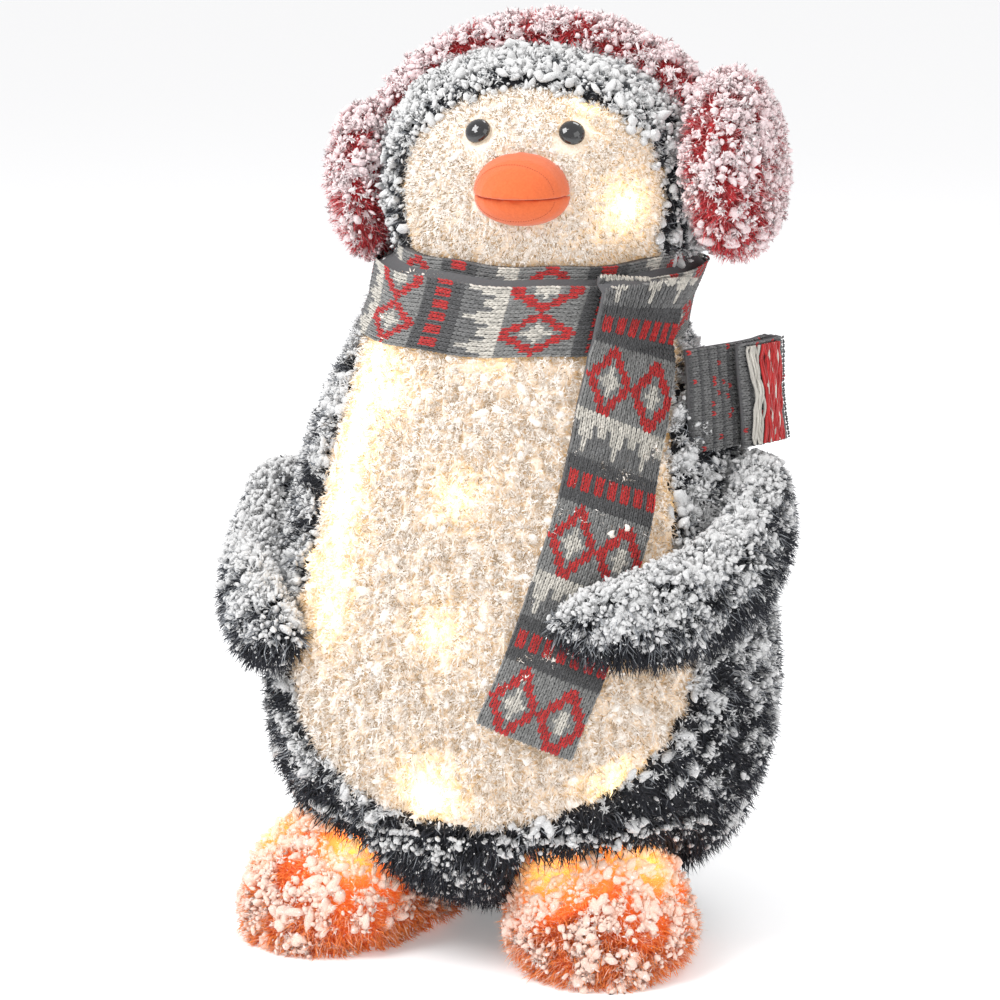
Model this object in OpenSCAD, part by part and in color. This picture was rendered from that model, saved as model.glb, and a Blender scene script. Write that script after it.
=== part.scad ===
// Pre-lit plush penguin: a welded wire figure in sewn pile covers, with a string of lamps inside,
// a knitted scarf, earmuffs and a battery case in its back. It stands on the soles of its feet and
// faces -Y, with +Z up and the origin on the ground at the middle of its footprint.

/* [Body] */
// Height of the top of the neck
body_h = 445; // [400:1:480]
// Width of the body at its widest
body_d = 332; // [300:1:360]
// Height of the lowest point of the body
base_h = 30; // [24:1:36]
// Thickness of a cover with its pile
cover_t = 12; // [9:0.5:15]
// Height of the seam between the base cover and the back cover
base_seam_h = 95; // [90:1:104]
// Height of the bottom of the belly panel
belly_low = 106; // [100:1:130]
// Height at which the belly panel is widest
belly_mid = 192; // [170:1:220]
// Half of the belly panel's width
belly_half_w = 128; // [100:1:132]
// Half of the belly panel's width at the neck
belly_top_half_w = 88; // [80:1:110]
// How far the belly panel sits to one side
belly_x = 8; // [0:1:10]

/* [Head] */
// Width of the hood
head_d = 198; // [180:1:215]
// Height of the hood above the neck
head_h = 135; // [120:1:150]
// How far the head leans to one side
head_x = 14; // [0:1:16]
// How far the head sits back
head_y = 8; // [0:1:10]
// How far the face turns to one side, in degrees
face_turn = 7; // [0:1:12]
// Half of the face panel's width
face_half_w = 84; // [70:1:88]
// Height of the top of the face panel above the neck
face_top = 121; // [100:1:122]
// Diameter of an eye
eye_d = 17; // [12:0.5:22]
// Distance between the eyes
eye_gap = 60; // [50:1:70]
// Height of the eyes above the neck
eye_z = 96; // [92:1:105]
// Width of the beak
beak_w = 63; // [50:1:72]
// Height of the line between the lips above the neck
mouth_z = 58; // [54:1:66]
// Height of the upper lip
upper_lip_h = 27; // [18:1:30]
// Height of the lower lip
lower_lip_h = 20; // [12:1:24]
// How far the beak stands out of the face
beak_out = 30; // [22:1:36]

/* [Earmuffs] */
// Diameter of the left earmuff
left_muff_d = 99; // [90:1:124]
// Thickness of the left earmuff
left_muff_t = 39; // [36:1:60]
// Diameter of the right earmuff
right_muff_d = 118; // [96:1:130]
// Thickness of the right earmuff
right_muff_t = 50; // [40:1:62]
// Thickness of an earmuff's cover
muff_cover_t = 6; // [4:0.5:8]
// Height of the middle of the earmuffs above the neck
muff_z = 60; // [54:1:66]
// Diameter of the headband
band_d = 25; // [18:1:28]
// How far the band leans to one side, in degrees
band_lean = 4.5; // [0:0.5:6]

/* [Flippers] */
// Thickness of a flipper
flipper_t = 30; // [27:1:36]
// Thickness of a flipper's padded cover
flipper_cover_t = 5; // [4:0.5:6]
// Width of a flipper at its widest
flipper_w = 66; // [54:1:76]
// Where the left shoulder pin sits, as a share of the body's height
left_pin_at = 0.588; // [0.54:0.01:0.61]
// Where the right shoulder pin sits, as a share of the body's height
right_pin_at = 0.627; // [0.62:0.01:0.66]
// Diameter of a shoulder pin
pin_d = 6; // [5:0.5:8]
// Running clearance of the pin in its bush, on the radius
pin_clear = 0.05; // [0.02:0.01:0.1]
// Gap between the body and a flipper at the shoulder
shoulder_gap = 3; // [2.5:0.5:5]

/* [Feet] */
// Half of a foot's width
foot_half_w = 57; // [50:1:62]
// Half of a foot's length
foot_half_l = 84; // [76:1:92]
// Height of the front of a foot
foot_h = 84; // [70:1:86]
// Height of the heel, under the body
heel_h = 22; // [18:1:24]
// Thickness of a foot's cover
foot_cover_t = 9; // [6:0.5:11]

/* [Scarf] */
// Width of the scarf
scarf_w = 66; // [54:1:72]
// Thickness of the knit
scarf_t = 5; // [3:0.5:6]
// How far the scarf's wrap reaches down the neck
wrap_down = 42; // [36:1:48]
// How far the scarf's wrap reaches up the hood
wrap_up = 19; // [12:1:22]

/* [Frame and lamps] */
// Diameter of the frame wire
wire_d = 4; // [3:0.5:5]
// Diameter of a lamp bulb
lamp_d = 6; // [5:0.5:7]
// Diameter of a lamp holder
holder_d = 8; // [7:0.5:9]
// Diameter of the light lead
lead_d = 3; // [2:0.5:4]

/* [Battery case] */
// Width of the battery case
case_w = 84; // [80:1:88]
// Height of the battery case
case_h = 64; // [60:1:68]
// Depth of the battery case
case_d = 24; // [22:1:28]
// Height of the middle of the battery case
case_z = 150; // [148:1:154]
// Wall of the battery case
case_wall = 2; // [1.6:0.2:3]
// Diameter of a cell
cell_d = 14.5; // [14:0.1:15]
// Length of a cell
cell_l = 50.5; // [49:0.1:51]
// Thickness of the battery door
door_t = 2.5; // [2:0.1:3]
// Travel of the switch knob each way
switch_travel = 3; // [2:0.5:4]

/* [Hidden] */
$fn = 96;

// The body's axis, placed so that the whole figure is centred on the origin
body_at = [3, 2.5, 0];
// Gap left between pieces that are sewn or clipped side by side
seam_gap = 0.3;

// Outline of the body, as shares of its height and of its half width
BODY_OUTLINE = [
    [0, 0.24], [0.03, 0.53], [0.07, 0.74], [0.12, 0.86], [0.2, 0.96], [0.31, 1],
    [0.42, 0.985], [0.53, 0.94], [0.66, 0.86], [0.78, 0.76], [0.9, 0.61], [0.95, 0.555], [1, 0.53]
];
// Outline of the hood, as shares of its height and of its half width
HOOD_OUTLINE = [
    [0, 0.87], [0.11, 0.93], [0.25, 0.98], [0.4, 1], [0.54, 0.99], [0.69, 0.925],
    [0.81, 0.8], [0.9, 0.635], [0.965, 0.42], [1, 0.16]
];
neck_gap = 2;
hood_low = body_h + neck_gap;
// A height on the body from its share of the way up
function up(share) = base_h + share * (body_h - base_h);
left_pin_z = up(left_pin_at);
right_pin_z = up(right_pin_at);
scarf_low = body_h - wrap_down;
scarf_high = body_h + wrap_up;

function body_r(z) = body_d / 2 * lookup((z - base_h) / (body_h - base_h), BODY_OUTLINE);
function hood_r(z) = head_d / 2 * lookup((z - hood_low) / head_h, HOOD_OUTLINE);
// The slope of an outline, as the unit normal that points out of it
function unit(v) = v / norm(v);
function body_n(z) = unit([2, body_r(z - 1) - body_r(z + 1)]);
function hood_n(z) = unit([2, hood_r(z - 1) - hood_r(z + 1)]);
// Points on the body and the hood at an angle that is counted from the front towards +X
function on_body(a, z, out = 0) =
    [(body_r(z) + out) * sin(a), -(body_r(z) + out) * cos(a), z];
function on_hood(a, z, out = 0) =
    [head_x + (hood_r(z) + out) * sin(a), head_y - (hood_r(z) + out) * cos(a), z];
function mix(a, b, t) = a + (b - a) * t;

// A closed solid through rings that each have the same number of points
module skin(rings, closed = false) {
    n = len(rings[0]);
    m = len(rings);
    points = [for (ring = rings) each ring];
    sides = [
        for (i = [0 : m - (closed ? 1 : 2)], j = [0 : n - 1])
            let (k = (i + 1) % m, l = (j + 1) % n)
                each [[i * n + j, k * n + l, i * n + l], [i * n + j, k * n + j, k * n + l]]
    ];
    caps = closed ? [] : [[for (j = [0 : n - 1]) j], [for (j = [n - 1 : -1 : 0]) (m - 1) * n + j]];
    polyhedron(points, concat(sides, caps));
}

// The rings of a round wire along a path, each squared to the path; side is a rough sideways direction
function wire_rings(path, sides_at, d, closed = false) = [
    for (i = [0 : len(path) - 1])
        let (
            last = len(path) - 1,
            before = path[closed ? (i + last) % (last + 1) : max(i - 1, 0)],
            after = path[closed ? (i + 1) % (last + 1) : min(i + 1, last)],
            along = unit(after - before),
            across = unit(cross(along, sides_at[i])),
            over = cross(along, across)
        )
            [for (a = [0 : 45 : 315]) path[i] + d / 2 * (across * cos(a) + over * sin(a))]
];

// A point under the skin of the body or the hood, as radius and height
function under_body(z, depth) = [body_r(z), z] - depth * body_n(z);
function under_hood(z, depth) = [hood_r(z), z] - depth * hood_n(z);
function at_angle(a, p) = [p[0] * sin(a), -p[0] * cos(a), p[1]];

// A wall of even thickness between two heights of the body's or the hood's outline
module shell(low, high, steps, thick, hood = false) {
    heights = [for (i = [0 : steps]) mix(low, high, i / steps)];
    outer = [for (z = heights) [hood ? hood_r(z) : body_r(z), z]];
    inner = [for (z = heights) hood ? under_hood(z, thick) : under_body(z, thick)];
    rotate_extrude() polygon(concat(outer, [for (i = [steps : -1 : 0]) [max(inner[i][0], 0), inner[i][1]]]));
}

// ---------------------------------------------------------------- body covers

// Outline of the belly panel seen from the front, grown by a margin
module belly_outline(grow) {
    low_r = belly_mid - belly_low + grow;
    polygon(concat(
        [for (a = [0 : 12 : 180])
            [belly_x - (belly_half_w + grow) * cos(a), belly_mid - low_r * sin(a)]],
        [[belly_x + belly_top_half_w + grow, body_h + 5], [belly_x - belly_top_half_w - grow, body_h + 5]]
    ));
}
module belly_cut(grow) {
    rotate([90, 0, 0]) linear_extrude(body_d) belly_outline(grow);
}
module body_wall() {
    shell(base_seam_h, body_h, 14, cover_t);
}
module shoulder_hole(side, pin_z) {
    translate([side * body_r(pin_z), 0, pin_z])
        rotate([0, 90, 0]) cylinder(d = pin_d + 6, h = 4 * cover_t, center = true);
}
module back_cover() color("#15161b") translate(body_at) difference() {
    body_wall();
    belly_cut(0);
    shoulder_hole(-1, left_pin_z);
    shoulder_hole(1, right_pin_z);
    translate([0, body_d / 2, case_z - door_drop / 2])
        cube([case_w + 4, body_d / 2, case_h + 4 + door_drop], center = true);
}
module belly_panel() color("#d8c8b4") translate(body_at) intersection() {
    body_wall();
    belly_cut(-seam_gap);
}
module base_cover() color("#101116") translate(body_at) difference() {
    low = base_h + 0.5;
    heights = [for (i = [0 : 7]) mix(low, base_seam_h - seam_gap, pow(i / 7, 1.6))];
    outer = concat([[0, low]], [for (z = heights) [body_r(z), z]]);
    inner = [for (i = [7 : -1 : 0])
        let (z = heights[i], p = [body_r(z), z] - cover_t * body_n(z)) [max(p[0], 1), max(p[1], low + 8)]];
    rotate_extrude() polygon(concat(outer, inner, [[0, low + 8]]));
    foot_cut(-1);
    foot_cut(1);
}

// ---------------------------------------------------------------- feet

// Each foot's middle and how far its toes turn out, by side
function foot_at(side) = body_d / 2 * (side < 0 ? [-0.58, -0.33, 0] : [0.44, -0.38, 0]);
function foot_turn(side) = side < 0 ? -22 : 15;
// Half width and height of a foot along its length, from the heel at -1 to the toe at 1
function foot_w(s) = foot_half_w * (1 + 0.28 * s) * pow(max(1 - s * s, 0.002), 0.46);
function foot_top(s) =
    let (rise = min(max((s + 0.42) / 0.5, 0), 1), bump = rise * rise * (3 - 2 * rise))
        mix(heel_h, foot_h, bump) * pow(max(1 - pow(abs(s), 3.2), 0.01), 0.5);
// A ring across a foot: a flat sole and an arched top
function foot_ring(s, inset) =
    let (w = max(foot_w(s) - inset, 1), h = max(foot_top(s) - inset, inset + 1))
        concat(
            [for (i = [-1, 1]) [0.74 * w * i, -s * (foot_half_l - inset), inset]],
            [for (a = [10 : 20 : 170])
                [w * cos(a), -s * (foot_half_l - inset), mix(inset, h, 0.12 + 0.88 * sin(a))]]
        );
FOOT_STEPS = [-0.99, -0.94, -0.8, -0.6, -0.4, -0.2, 0, 0.2, 0.4, 0.6, 0.8, 0.93, 0.99];
module at_foot(side) {
    translate(body_at + foot_at(side)) rotate(foot_turn(side)) children();
}
module foot_cut(side) {
    outline = concat(
        [for (s = [-0.3 : 0.15 : 1.0]) [foot_w(s) + 3, -s * (foot_half_l + 3)]],
        [for (s = [0.9 : -0.15 : -0.3]) [-foot_w(s) - 3, -s * (foot_half_l + 3)]]
    );
    translate(foot_at(side)) rotate(foot_turn(side))
        translate([0, 0, -1]) linear_extrude(foot_h + 5) polygon(outline);
}
// Two posts stand in each foot, towards the middle of the figure, and carry it
post_gap = 30;
post_in = 10;
foot_lead_y = 18;
module foot_posts_at(side) {
    for (x = [-0.5, 0.5]) translate([x * post_gap - side * post_in, 0, 0]) children();
}
module foot_cover(side) {
    at_foot(side) difference() {
        skin([for (s = FOOT_STEPS) foot_ring(s, 0)]);
        skin([for (s = FOOT_STEPS) foot_ring(s, foot_cover_t)]);
        foot_posts_at(side) translate([0, 0, foot_cover_t + 6]) cylinder(d = wire_d + 3, h = foot_h);
        translate([-side * post_in, foot_lead_y, foot_cover_t + 6]) cylinder(d = lead_d + 3, h = foot_h);
    }
}
module left_foot_cover() color("#e8521c") foot_cover(-1);
module right_foot_cover() color("#e8521c") foot_cover(1);

// A wire loop inside the sole, a cross bar and two posts that carry the figure
foot_wire_z = foot_cover_t + wire_d / 2 + 0.2;
function foot_wire_x(s) = 0.74 * (foot_w(s) - foot_cover_t) - wire_d;
FOOT_WIRE = [-0.34, -0.1, 0.15, 0.4, 0.62, 0.78];
module foot_frame(side) {
    path = concat(
        [for (s = FOOT_WIRE) [foot_wire_x(s), -s * (foot_half_l - foot_cover_t), foot_wire_z]],
        [for (i = [len(FOOT_WIRE) - 1 : -1 : 0])
            [-foot_wire_x(FOOT_WIRE[i]), -FOOT_WIRE[i] * (foot_half_l - foot_cover_t), foot_wire_z]]
    );
    at_foot(side) {
        skin(wire_rings(path, [for (p = path) [0, 0, 1]], wire_d, closed = true), closed = true);
        bar_l = 2 * foot_wire_x(0) - wire_d;
        translate([0, 0, foot_wire_z]) rotate([0, 90, 0]) cylinder(d = wire_d, h = bar_l, center = true);
        foot_posts_at(side) translate([0, 0, foot_wire_z + wire_d / 2])
            cylinder(d = wire_d, h = bridge_z - foot_wire_z - wire_d / 2);
    }
}
module left_foot_frame() color("#9aa0a6") foot_frame(-1);
module right_foot_frame() color("#9aa0a6") foot_frame(1);

// ---------------------------------------------------------------- wire frame

// How deep the middle of a hoop's wire and of a rib's wire lie; the ribs are welded inside the hoops
hoop_depth = cover_t + wire_d / 2 + 1;
rib_depth = hoop_depth + wire_d + 0.05;
function rib_r(z) = body_r(z) - rib_depth;
HOOPS = [base_seam_h + 9, up(0.42), up(0.614), up(0.747), up(0.855), body_h - wire_d];
RIBS = [22.5 : 45 : 337.5];
low_hoop = under_body(HOOPS[0], hoop_depth);
bridge_z = low_hoop[1] + wire_d / 2;
bridge_y = -0.38 * body_d / 2;
bridge_w = 26;

module hoop(r) {
    rotate_extrude() translate([r, 0]) circle(d = wire_d, $fn = 24);
}
module body_hoops() color("#8d9298") translate(body_at) {
    for (z = HOOPS)
        let (p = under_body(z, hoop_depth)) translate([0, 0, p[1]]) hoop(p[0]);
}
module body_ribs() color("#8d9298") translate(body_at) {
    for (a = RIBS) {
        path = [for (i = [0 : 10]) at_angle(a, under_body(mix(HOOPS[0], HOOPS[5], i / 10), rib_depth))];
        skin(wire_rings(path, [for (p = path) [cos(a), sin(a), 0]], wire_d));
    }
}
// A flat bar across the lowest hoop, which the foot posts are welded to
module foot_bridge() color("#8d9298") translate(body_at) {
    half_l = sqrt(pow(low_hoop[0], 2) - pow(bridge_y - bridge_w / 2, 2));
    translate([-half_l, bridge_y - bridge_w / 2, bridge_z]) cube([2 * half_l, bridge_w, 2]);
}
// A pressed ring between the neck and the head, which both frames are welded to
module neck_plate() color("#8d9298") translate(body_at + [head_x / 2, head_y / 2, body_h])
    linear_extrude(neck_gap) difference() {
        circle(r = body_r(body_h) - 6);
        circle(r = body_r(body_h) - 28);
    }
HEAD_HOOPS = [hood_low + wire_d, hood_low + 35, hood_low + 78, hood_low + 122];
module head_frame() color("#8d9298") translate(body_at + [head_x, head_y, 0]) {
    for (z = HEAD_HOOPS)
        let (p = under_hood(z, hoop_depth)) translate([0, 0, p[1]]) hoop(p[0]);
    for (a = [15 : 60 : 315]) {
        heights = [for (i = [0 : 6]) mix(HEAD_HOOPS[0], HEAD_HOOPS[3], i / 6)];
        path = [for (z = heights) at_angle(a, under_hood(z, rib_depth))];
        skin(wire_rings(path, [for (p = path) [cos(a), sin(a), 0]], wire_d));
    }
}

// ---------------------------------------------------------------- head

// Outline of the face panel seen from the front, grown by a margin
module face_outline(grow) {
    wide = face_half_w + grow;
    mid = hood_low + 56;
    arch = body_h + face_top - mid + grow;
    polygon(concat(
        [[-wide + 6, hood_low - 5], [wide - 6, hood_low - 5]],
        [for (a = [0 : 12 : 180]) [wide * cos(a), mid + arch * sin(a)]]
    ));
}
module face_cut(grow) {
    translate([head_x, head_y, 0]) rotate(face_turn)
        rotate([90, 0, 0]) linear_extrude(head_d) face_outline(grow);
}
module hood_wall() {
    translate([head_x, head_y, 0]) shell(hood_low, hood_low + head_h, 12, cover_t, hood = true);
}
module hood_cover() color("#17181d") translate(body_at) difference() {
    hood_wall();
    face_cut(0);
}
// A frame at a point on the head whose +Z points straight out of the surface
module out_of_head(a, z) {
    n = hood_n(z);
    translate(on_hood(a, z)) rotate([0, 0, a]) rotate([90 - atan2(n[1], n[0]), 0, 0]) children();
}
eye_at_z = body_h + eye_z;
function eye_angle(side) = face_turn + side * asin(eye_gap / 2 / hood_r(eye_at_z));
stem_d = 4;
module face_panel() color("#dccbb6") translate(body_at) difference() {
    intersection() {
        hood_wall();
        face_cut(-seam_gap);
    }
    for (side = [-1, 1])
        out_of_head(eye_angle(side), eye_at_z) translate([0, 0, -2 * cover_t])
            cylinder(d = stem_d + 0.1, h = 3 * cover_t, $fn = 24);
}
// A glossy dome on a stem that passes through the face panel
module eye(side) {
    dome_h = 0.34 * eye_d;
    rise = eye_d * eye_d / 8 / hood_r(eye_at_z) + seam_gap;
    out_of_head(eye_angle(side), eye_at_z) {
        translate([0, 0, rise]) rotate_extrude() polygon(concat(
            [[0, 0]], [for (a = [0 : 10 : 90]) [eye_d / 2 * cos(a), dome_h * sin(a)]]
        ));
        translate([0, 0, -cover_t - 6]) cylinder(d = stem_d, h = cover_t + 6 + rise, $fn = 24);
    }
}
module left_eye() color("#0a0a0b") translate(body_at) eye(-1);
module right_eye() color("#0a0a0b") translate(body_at) eye(1);
module eye_washers() color("#d9d9d4") translate(body_at) {
    for (side = [-1, 1])
        out_of_head(eye_angle(side), eye_at_z) translate([0, 0, -cover_t - 4.8]) difference() {
            cylinder(d = eye_d, h = 1.5);
            translate([0, 0, -1]) cylinder(d = stem_d + 0.05, h = 4, $fn = 24);
        }
}

// One padded lip: a half oval that bulges out of the face, above or below the mouth line
module lip(way, high) {
    mouth = body_h + mouth_z;
    back = hood_r(mouth) - 8;
    rings = [
        for (f = [0, 0.3, 0.55, 0.75, 0.9, 0.98])
            let (
                k = pow(1 - pow(f, 2.4), 0.5),
                w = beak_w / 2 * k,
                h = high * k,
                line = mouth + way * seam_gap,
                arc = [for (a = [10 : 16 : 170]) [w * cos(a), line + way * h * pow(sin(a), 0.9)]],
                ends = [[-w, line], [w, line]],
                outline = way > 0
                    ? concat(ends, arc)
                    : concat([ends[1], ends[0]], [for (i = [10 : -1 : 0]) arc[i]])
            )
                [for (p = outline) [p[0], -back - (beak_out + 8) * f * (way > 0 ? 1 : 0.82), p[1]]]
    ];
    translate([head_x, head_y, 0]) difference() {
        rotate(face_turn) skin(rings);
        hood_solid(seam_gap);
    }
}
// The hood filled in and grown by a margin
module hood_solid(grow) {
    heights = [for (i = [0 : 12]) hood_low + head_h * i / 12];
    rotate_extrude() polygon(concat(
        [[0, hood_low - grow]], [for (z = heights) under_hood(z, -grow)], [[0, hood_low + head_h + grow]]
    ));
}
module upper_beak() color("#dd5417") translate(body_at) lip(1, upper_lip_h);
module lower_beak() color("#d24a14") translate(body_at) lip(-1, lower_lip_h);

// The earmuffs and the headband share a frame that leans a little to one side
module at_band() {
    translate(body_at + [head_x, head_y, body_h + muff_z]) rotate([0, -band_lean, 0]) children();
}
muff_in = head_d / 2 + 5;
function muff_d(side) = side < 0 ? left_muff_d : right_muff_d;
function muff_t(side) = side < 0 ? left_muff_t : right_muff_t;
// Half outline of an earmuff: flat against the head, full at its rim, domed outside
function muff_outline(side, inset) =
    let (r = muff_d(side) / 2 - inset, t = muff_t(side) - 2 * inset, flat = 0.5 * r, rim = 0.45 * t)
        concat(
            [[0, inset]],
            [for (a = [0 : 18 : 90]) [flat + (r - flat) * sin(a), inset + rim * (1 - cos(a))]],
            [for (a = [18 : 18 : 90]) [r * pow(cos(a), 0.8), inset + rim + (t - rim) * sin(a)]]
        );
core_d = 5;
core_x = muff_in + muff_cover_t + core_d / 2 + 2;
disc_t = 2;
module earmuff(side) {
    at_band() difference() {
        rotate([0, side * 90, 0]) translate([0, 0, muff_in]) difference() {
            rotate_extrude() polygon(muff_outline(side, 0));
            rotate_extrude() polygon(muff_outline(side, muff_cover_t));
        }
        band_tube(core_d + 1.5, 3);
    }
}
module left_earmuff() color("#b8202c") earmuff(-1);
module right_earmuff() color("#b8202c") earmuff(1);
module earmuff_discs() color("#d9d9d4") at_band() {
    for (side = [-1, 1])
        rotate([0, side * 90, 0]) translate([0, 0, core_x + core_d / 2])
            cylinder(d = 0.5 * muff_d(side), h = disc_t);
}
// The band's steel core rises from the discs and runs over the crown
band_top = hood_low + head_h - body_h - muff_z + band_d / 2 + 2;
function over_crown(a) =
    [core_x * cos(a), 0, band_top * pow(sin(a), 0.95)];
module band_tube(d, from) {
    path = [for (i = [0 : 20]) over_crown(mix(from, 180 - from, i / 20))];
    skin(wire_rings(path, [for (p = path) [0, 1, 0]], d));
}
module headband() color("#b8202c") difference() {
    at_band() band_tube(band_d, 14);
    at_band() band_tube(core_d + 1, 13);
    translate(body_at + [head_x, head_y, 0]) hood_solid(seam_gap);
    at_band() for (side = [-1, 1]) rotate([0, side * 90, 0]) translate([0, 0, muff_in - seam_gap])
        rotate_extrude() polygon(muff_outline(side, -seam_gap));
}
module headband_core() color("#8d9298") at_band() band_tube(core_d, 3);

// ---------------------------------------------------------------- scarf

// The neck wrap leans from the body's axis at its lower edge to the hood's axis at its upper edge
wrap_t = 1.6 * scarf_t;
WRAP = concat([for (i = [0 : 3]) mix(scarf_low, body_h + 0.5, i / 3)], [hood_low + 4, scarf_high]);
function wrap_lean(z) = (z - scarf_low) / (scarf_high - scarf_low);
function wrap_in(z) =
    let (lean = norm([head_x, head_y]))
        0.9 + (z <= hood_low ? body_r(z) + lean * wrap_lean(z) : hood_r(z) + lean * (1 - wrap_lean(z)));
function wrap_point(a, z, out) =
    [head_x * wrap_lean(z), head_y * wrap_lean(z), z] + (wrap_in(z) + out) * [cos(a), sin(a), 0];
module neck_wrap() {
    skin([
        for (a = [0 : 7.5 : 352.5]) concat(
            [for (z = WRAP) wrap_point(a, z, 0)],
            [for (i = [5 : -1 : 0]) wrap_point(a, WRAP[i], wrap_t)]
        )
    ], closed = true);
}
// Middle line of the front tail: angle from the front, and height as a share of the body's height
TAIL = [
    [61, 1.007], [59, 0.952], [55, 0.892], [46, 0.793], [41, 0.725], [37, 0.658], [29, 0.537],
    [23, 0.429], [17, 0.33]
];
// How far the knit lies off the body: on the wrap at the neck, on the belly below it
function tail_out(z) =
    let (
        high = max(z, scarf_low),
        on_wrap = wrap_in(high) + wrap_t + 0.9 * head_x * wrap_lean(high) + 1 - body_r(high),
        t = min(max((z - scarf_low + 45) / 45, 0), 1)
    )
        mix(1.2, on_wrap, t * t * (3 - 2 * t));
// The tail's middle line at a station, which may lie between two of its points
function tail_mid(i) =
    let (k = min(floor(i), len(TAIL) - 2), p = mix(TAIL[k], TAIL[k + 1], i - k)) [p[0], up(p[1])];
function tail_point(i, across, out) =
    let (
        p = tail_mid(i),
        before = tail_mid(max(i - 0.5, 0)),
        after = tail_mid(min(i + 0.5, len(TAIL) - 1)),
        r = body_r(p[1]),
        along = unit([(after[0] - before[0]) * r * PI / 180, after[1] - before[1]]),
        a = p[0] - across * along[1] / (r + 10) * 180 / PI,
        z = p[1] + across * along[0]
    )
        on_body(a, z, tail_out(z) + out);
ACROSS = [-0.5 : 0.25 : 0.5];
module front_tail() {
    skin([
        for (i = [0 : 0.5 : len(TAIL) - 1]) concat(
            [for (k = ACROSS) tail_point(i, k * scarf_w, 0)],
            [for (k = ACROSS) tail_point(i, -k * scarf_w, scarf_t)]
        )
    ]);
}
// Middle line of the second end, seen from above as shares of the body's radius there: out over the
// shoulder, then folded back on itself
END_OUT = [[1.04, -0.36], [1.14, -0.2], [1.23, -0.025], [1.3, 0.13], [1.33, 0.25]];
END_BACK = [[1.415, 0.23], [1.38, 0.11], [1.325, -0.01], [1.26, -0.11]];
end_z = scarf_low - 36;
module shoulder_end() {
    line = body_r(end_z) * concat(END_OUT, END_BACK);
    skin([
        for (i = [0 : len(line) - 1])
            let (
                before = line[max(i - 1, 0)],
                after = line[min(i + 1, len(line) - 1)],
                along = unit([after[0] - before[0], after[1] - before[1]]),
                n = [along[1], -along[0]] * scarf_t / 2,
                out = [0.72, -0.69] * 0.14
            )
                [for (c = [[-1, -1], [-1, 1], [1, 1], [1, -1]])
                    [line[i][0] + c[0] * n[0] - c[1] * scarf_w / 2 * out[0],
                     line[i][1] + c[0] * n[1] - c[1] * scarf_w / 2 * out[1],
                     end_z + c[1] * scarf_w / 2]]
    ]);
}
module scarf() color("#84868a") translate(body_at) {
    neck_wrap();
    front_tail();
    shoulder_end();
}

// ---------------------------------------------------------------- flippers

// A flipper's middle line, from the shoulder at 0 to the tip at 1: the angle that it has turned
// from the side towards the front, and its height. The right one bends across the belly.
function flipper_turn(side, t) = side < 0 ? -4 + 54 * pow(t, 1.4) : -6 + 72 * pow(t, 1.4);
function flipper_z(side, t) = side < 0
    ? mix(left_pin_z - 60, left_pin_z + 20, pow(1 - t, 1.5))
    : mix(right_pin_z - 50, right_pin_z + 26, pow(1 - t, 1.8));
function round_ends(t) = sqrt(max(0.03, 1 - pow(max((0.2 - t) / 0.2, (t - 0.72) / 0.28, 0), 2)));
function flipper_half_t(t) = flipper_t / 2 * round_ends(t);
function flipper_half_w(t) = flipper_w / 2 * round_ends(t) * (1 - 0.25 * t);
// The gap to the body grows where the scarf's tail lies under the right flipper
function flipper_gap(t) = shoulder_gap + (scarf_t + 1.5) * pow(t, 2);
function flipper_mid(side, t) =
    let (z = flipper_z(side, t), a = side * (90 - flipper_turn(side, t)))
        on_body(a, z, flipper_gap(t) + flipper_half_t(t));
function flipper_ring(side, t, inset) =
    let (
        mid = flipper_mid(side, t),
        along = unit(flipper_mid(side, min(t + 0.02, 1)) - flipper_mid(side, max(t - 0.02, 0))),
        flat = [mid[0], mid[1], 0],
        across = unit(cross(along, flat)),
        out = cross(across, along),
        a = max(flipper_half_t(t) - inset, 0.6),
        b = max(flipper_half_w(t) - inset, 0.6)
    )
        [for (k = [0 : 22.5 : 337.5]) mid + out * a * cos(k) + across * b * sin(k)];
FLIPPER_STEPS = [for (i = [0 : 16]) i / 16];
function pin_z(side) = side < 0 ? left_pin_z : right_pin_z;
module at_pin(side) {
    translate(body_at + [0, 0, pin_z(side)]) rotate([0, side * 90, 0]) children();
}
// Distances from the body's axis along a shoulder pin
function pin_frame_x(side) = rib_r(pin_z(side)) * cos(22.5) - wire_d / 2 - 3.5;
function pin_hub_x(side) = body_r(pin_z(side)) + shoulder_gap + flipper_t / 2;
bush_d = pin_d + 5;
bush_out = 13;
bush_in = 7;
hub_t = 4;
hub_d = 24;
module flipper_cover(side) {
    difference() {
        translate(body_at) skin([for (t = FLIPPER_STEPS) flipper_ring(side, t, 0)]);
        translate(body_at)
            skin([for (t = FLIPPER_STEPS) if (t > 0.05 && t < 0.95) flipper_ring(side, t, flipper_cover_t)]);
        at_pin(side) translate([0, 0, body_r(pin_z(side)) - 10])
            cylinder(d = pin_d + 3, h = 10 + shoulder_gap + flipper_t / 2);
    }
}
module flipper_frame(side) {
    steps = [for (i = [0 : 8]) mix(side < 0 ? 0.12 : 0.16, 0.86, i / 8)];
    function edge(t, k) = flipper_ring(side, t, flipper_cover_t + wire_d / 2 + 1)[4 + k * 8];
    path = concat([for (t = steps) edge(t, 0)], [for (i = [8 : -1 : 0]) edge(steps[i], 1)]);
    translate(body_at)
        skin(wire_rings(path, [for (p = path) [p[0], p[1], 0]], wire_d, closed = true), closed = true);
    at_pin(side) translate([0, 0, pin_hub_x(side) - hub_t / 2]) difference() {
        cylinder(d = hub_d, h = hub_t);
        translate([0, 0, -1]) cylinder(d = pin_d, h = hub_t + 2);
    }
}
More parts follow.
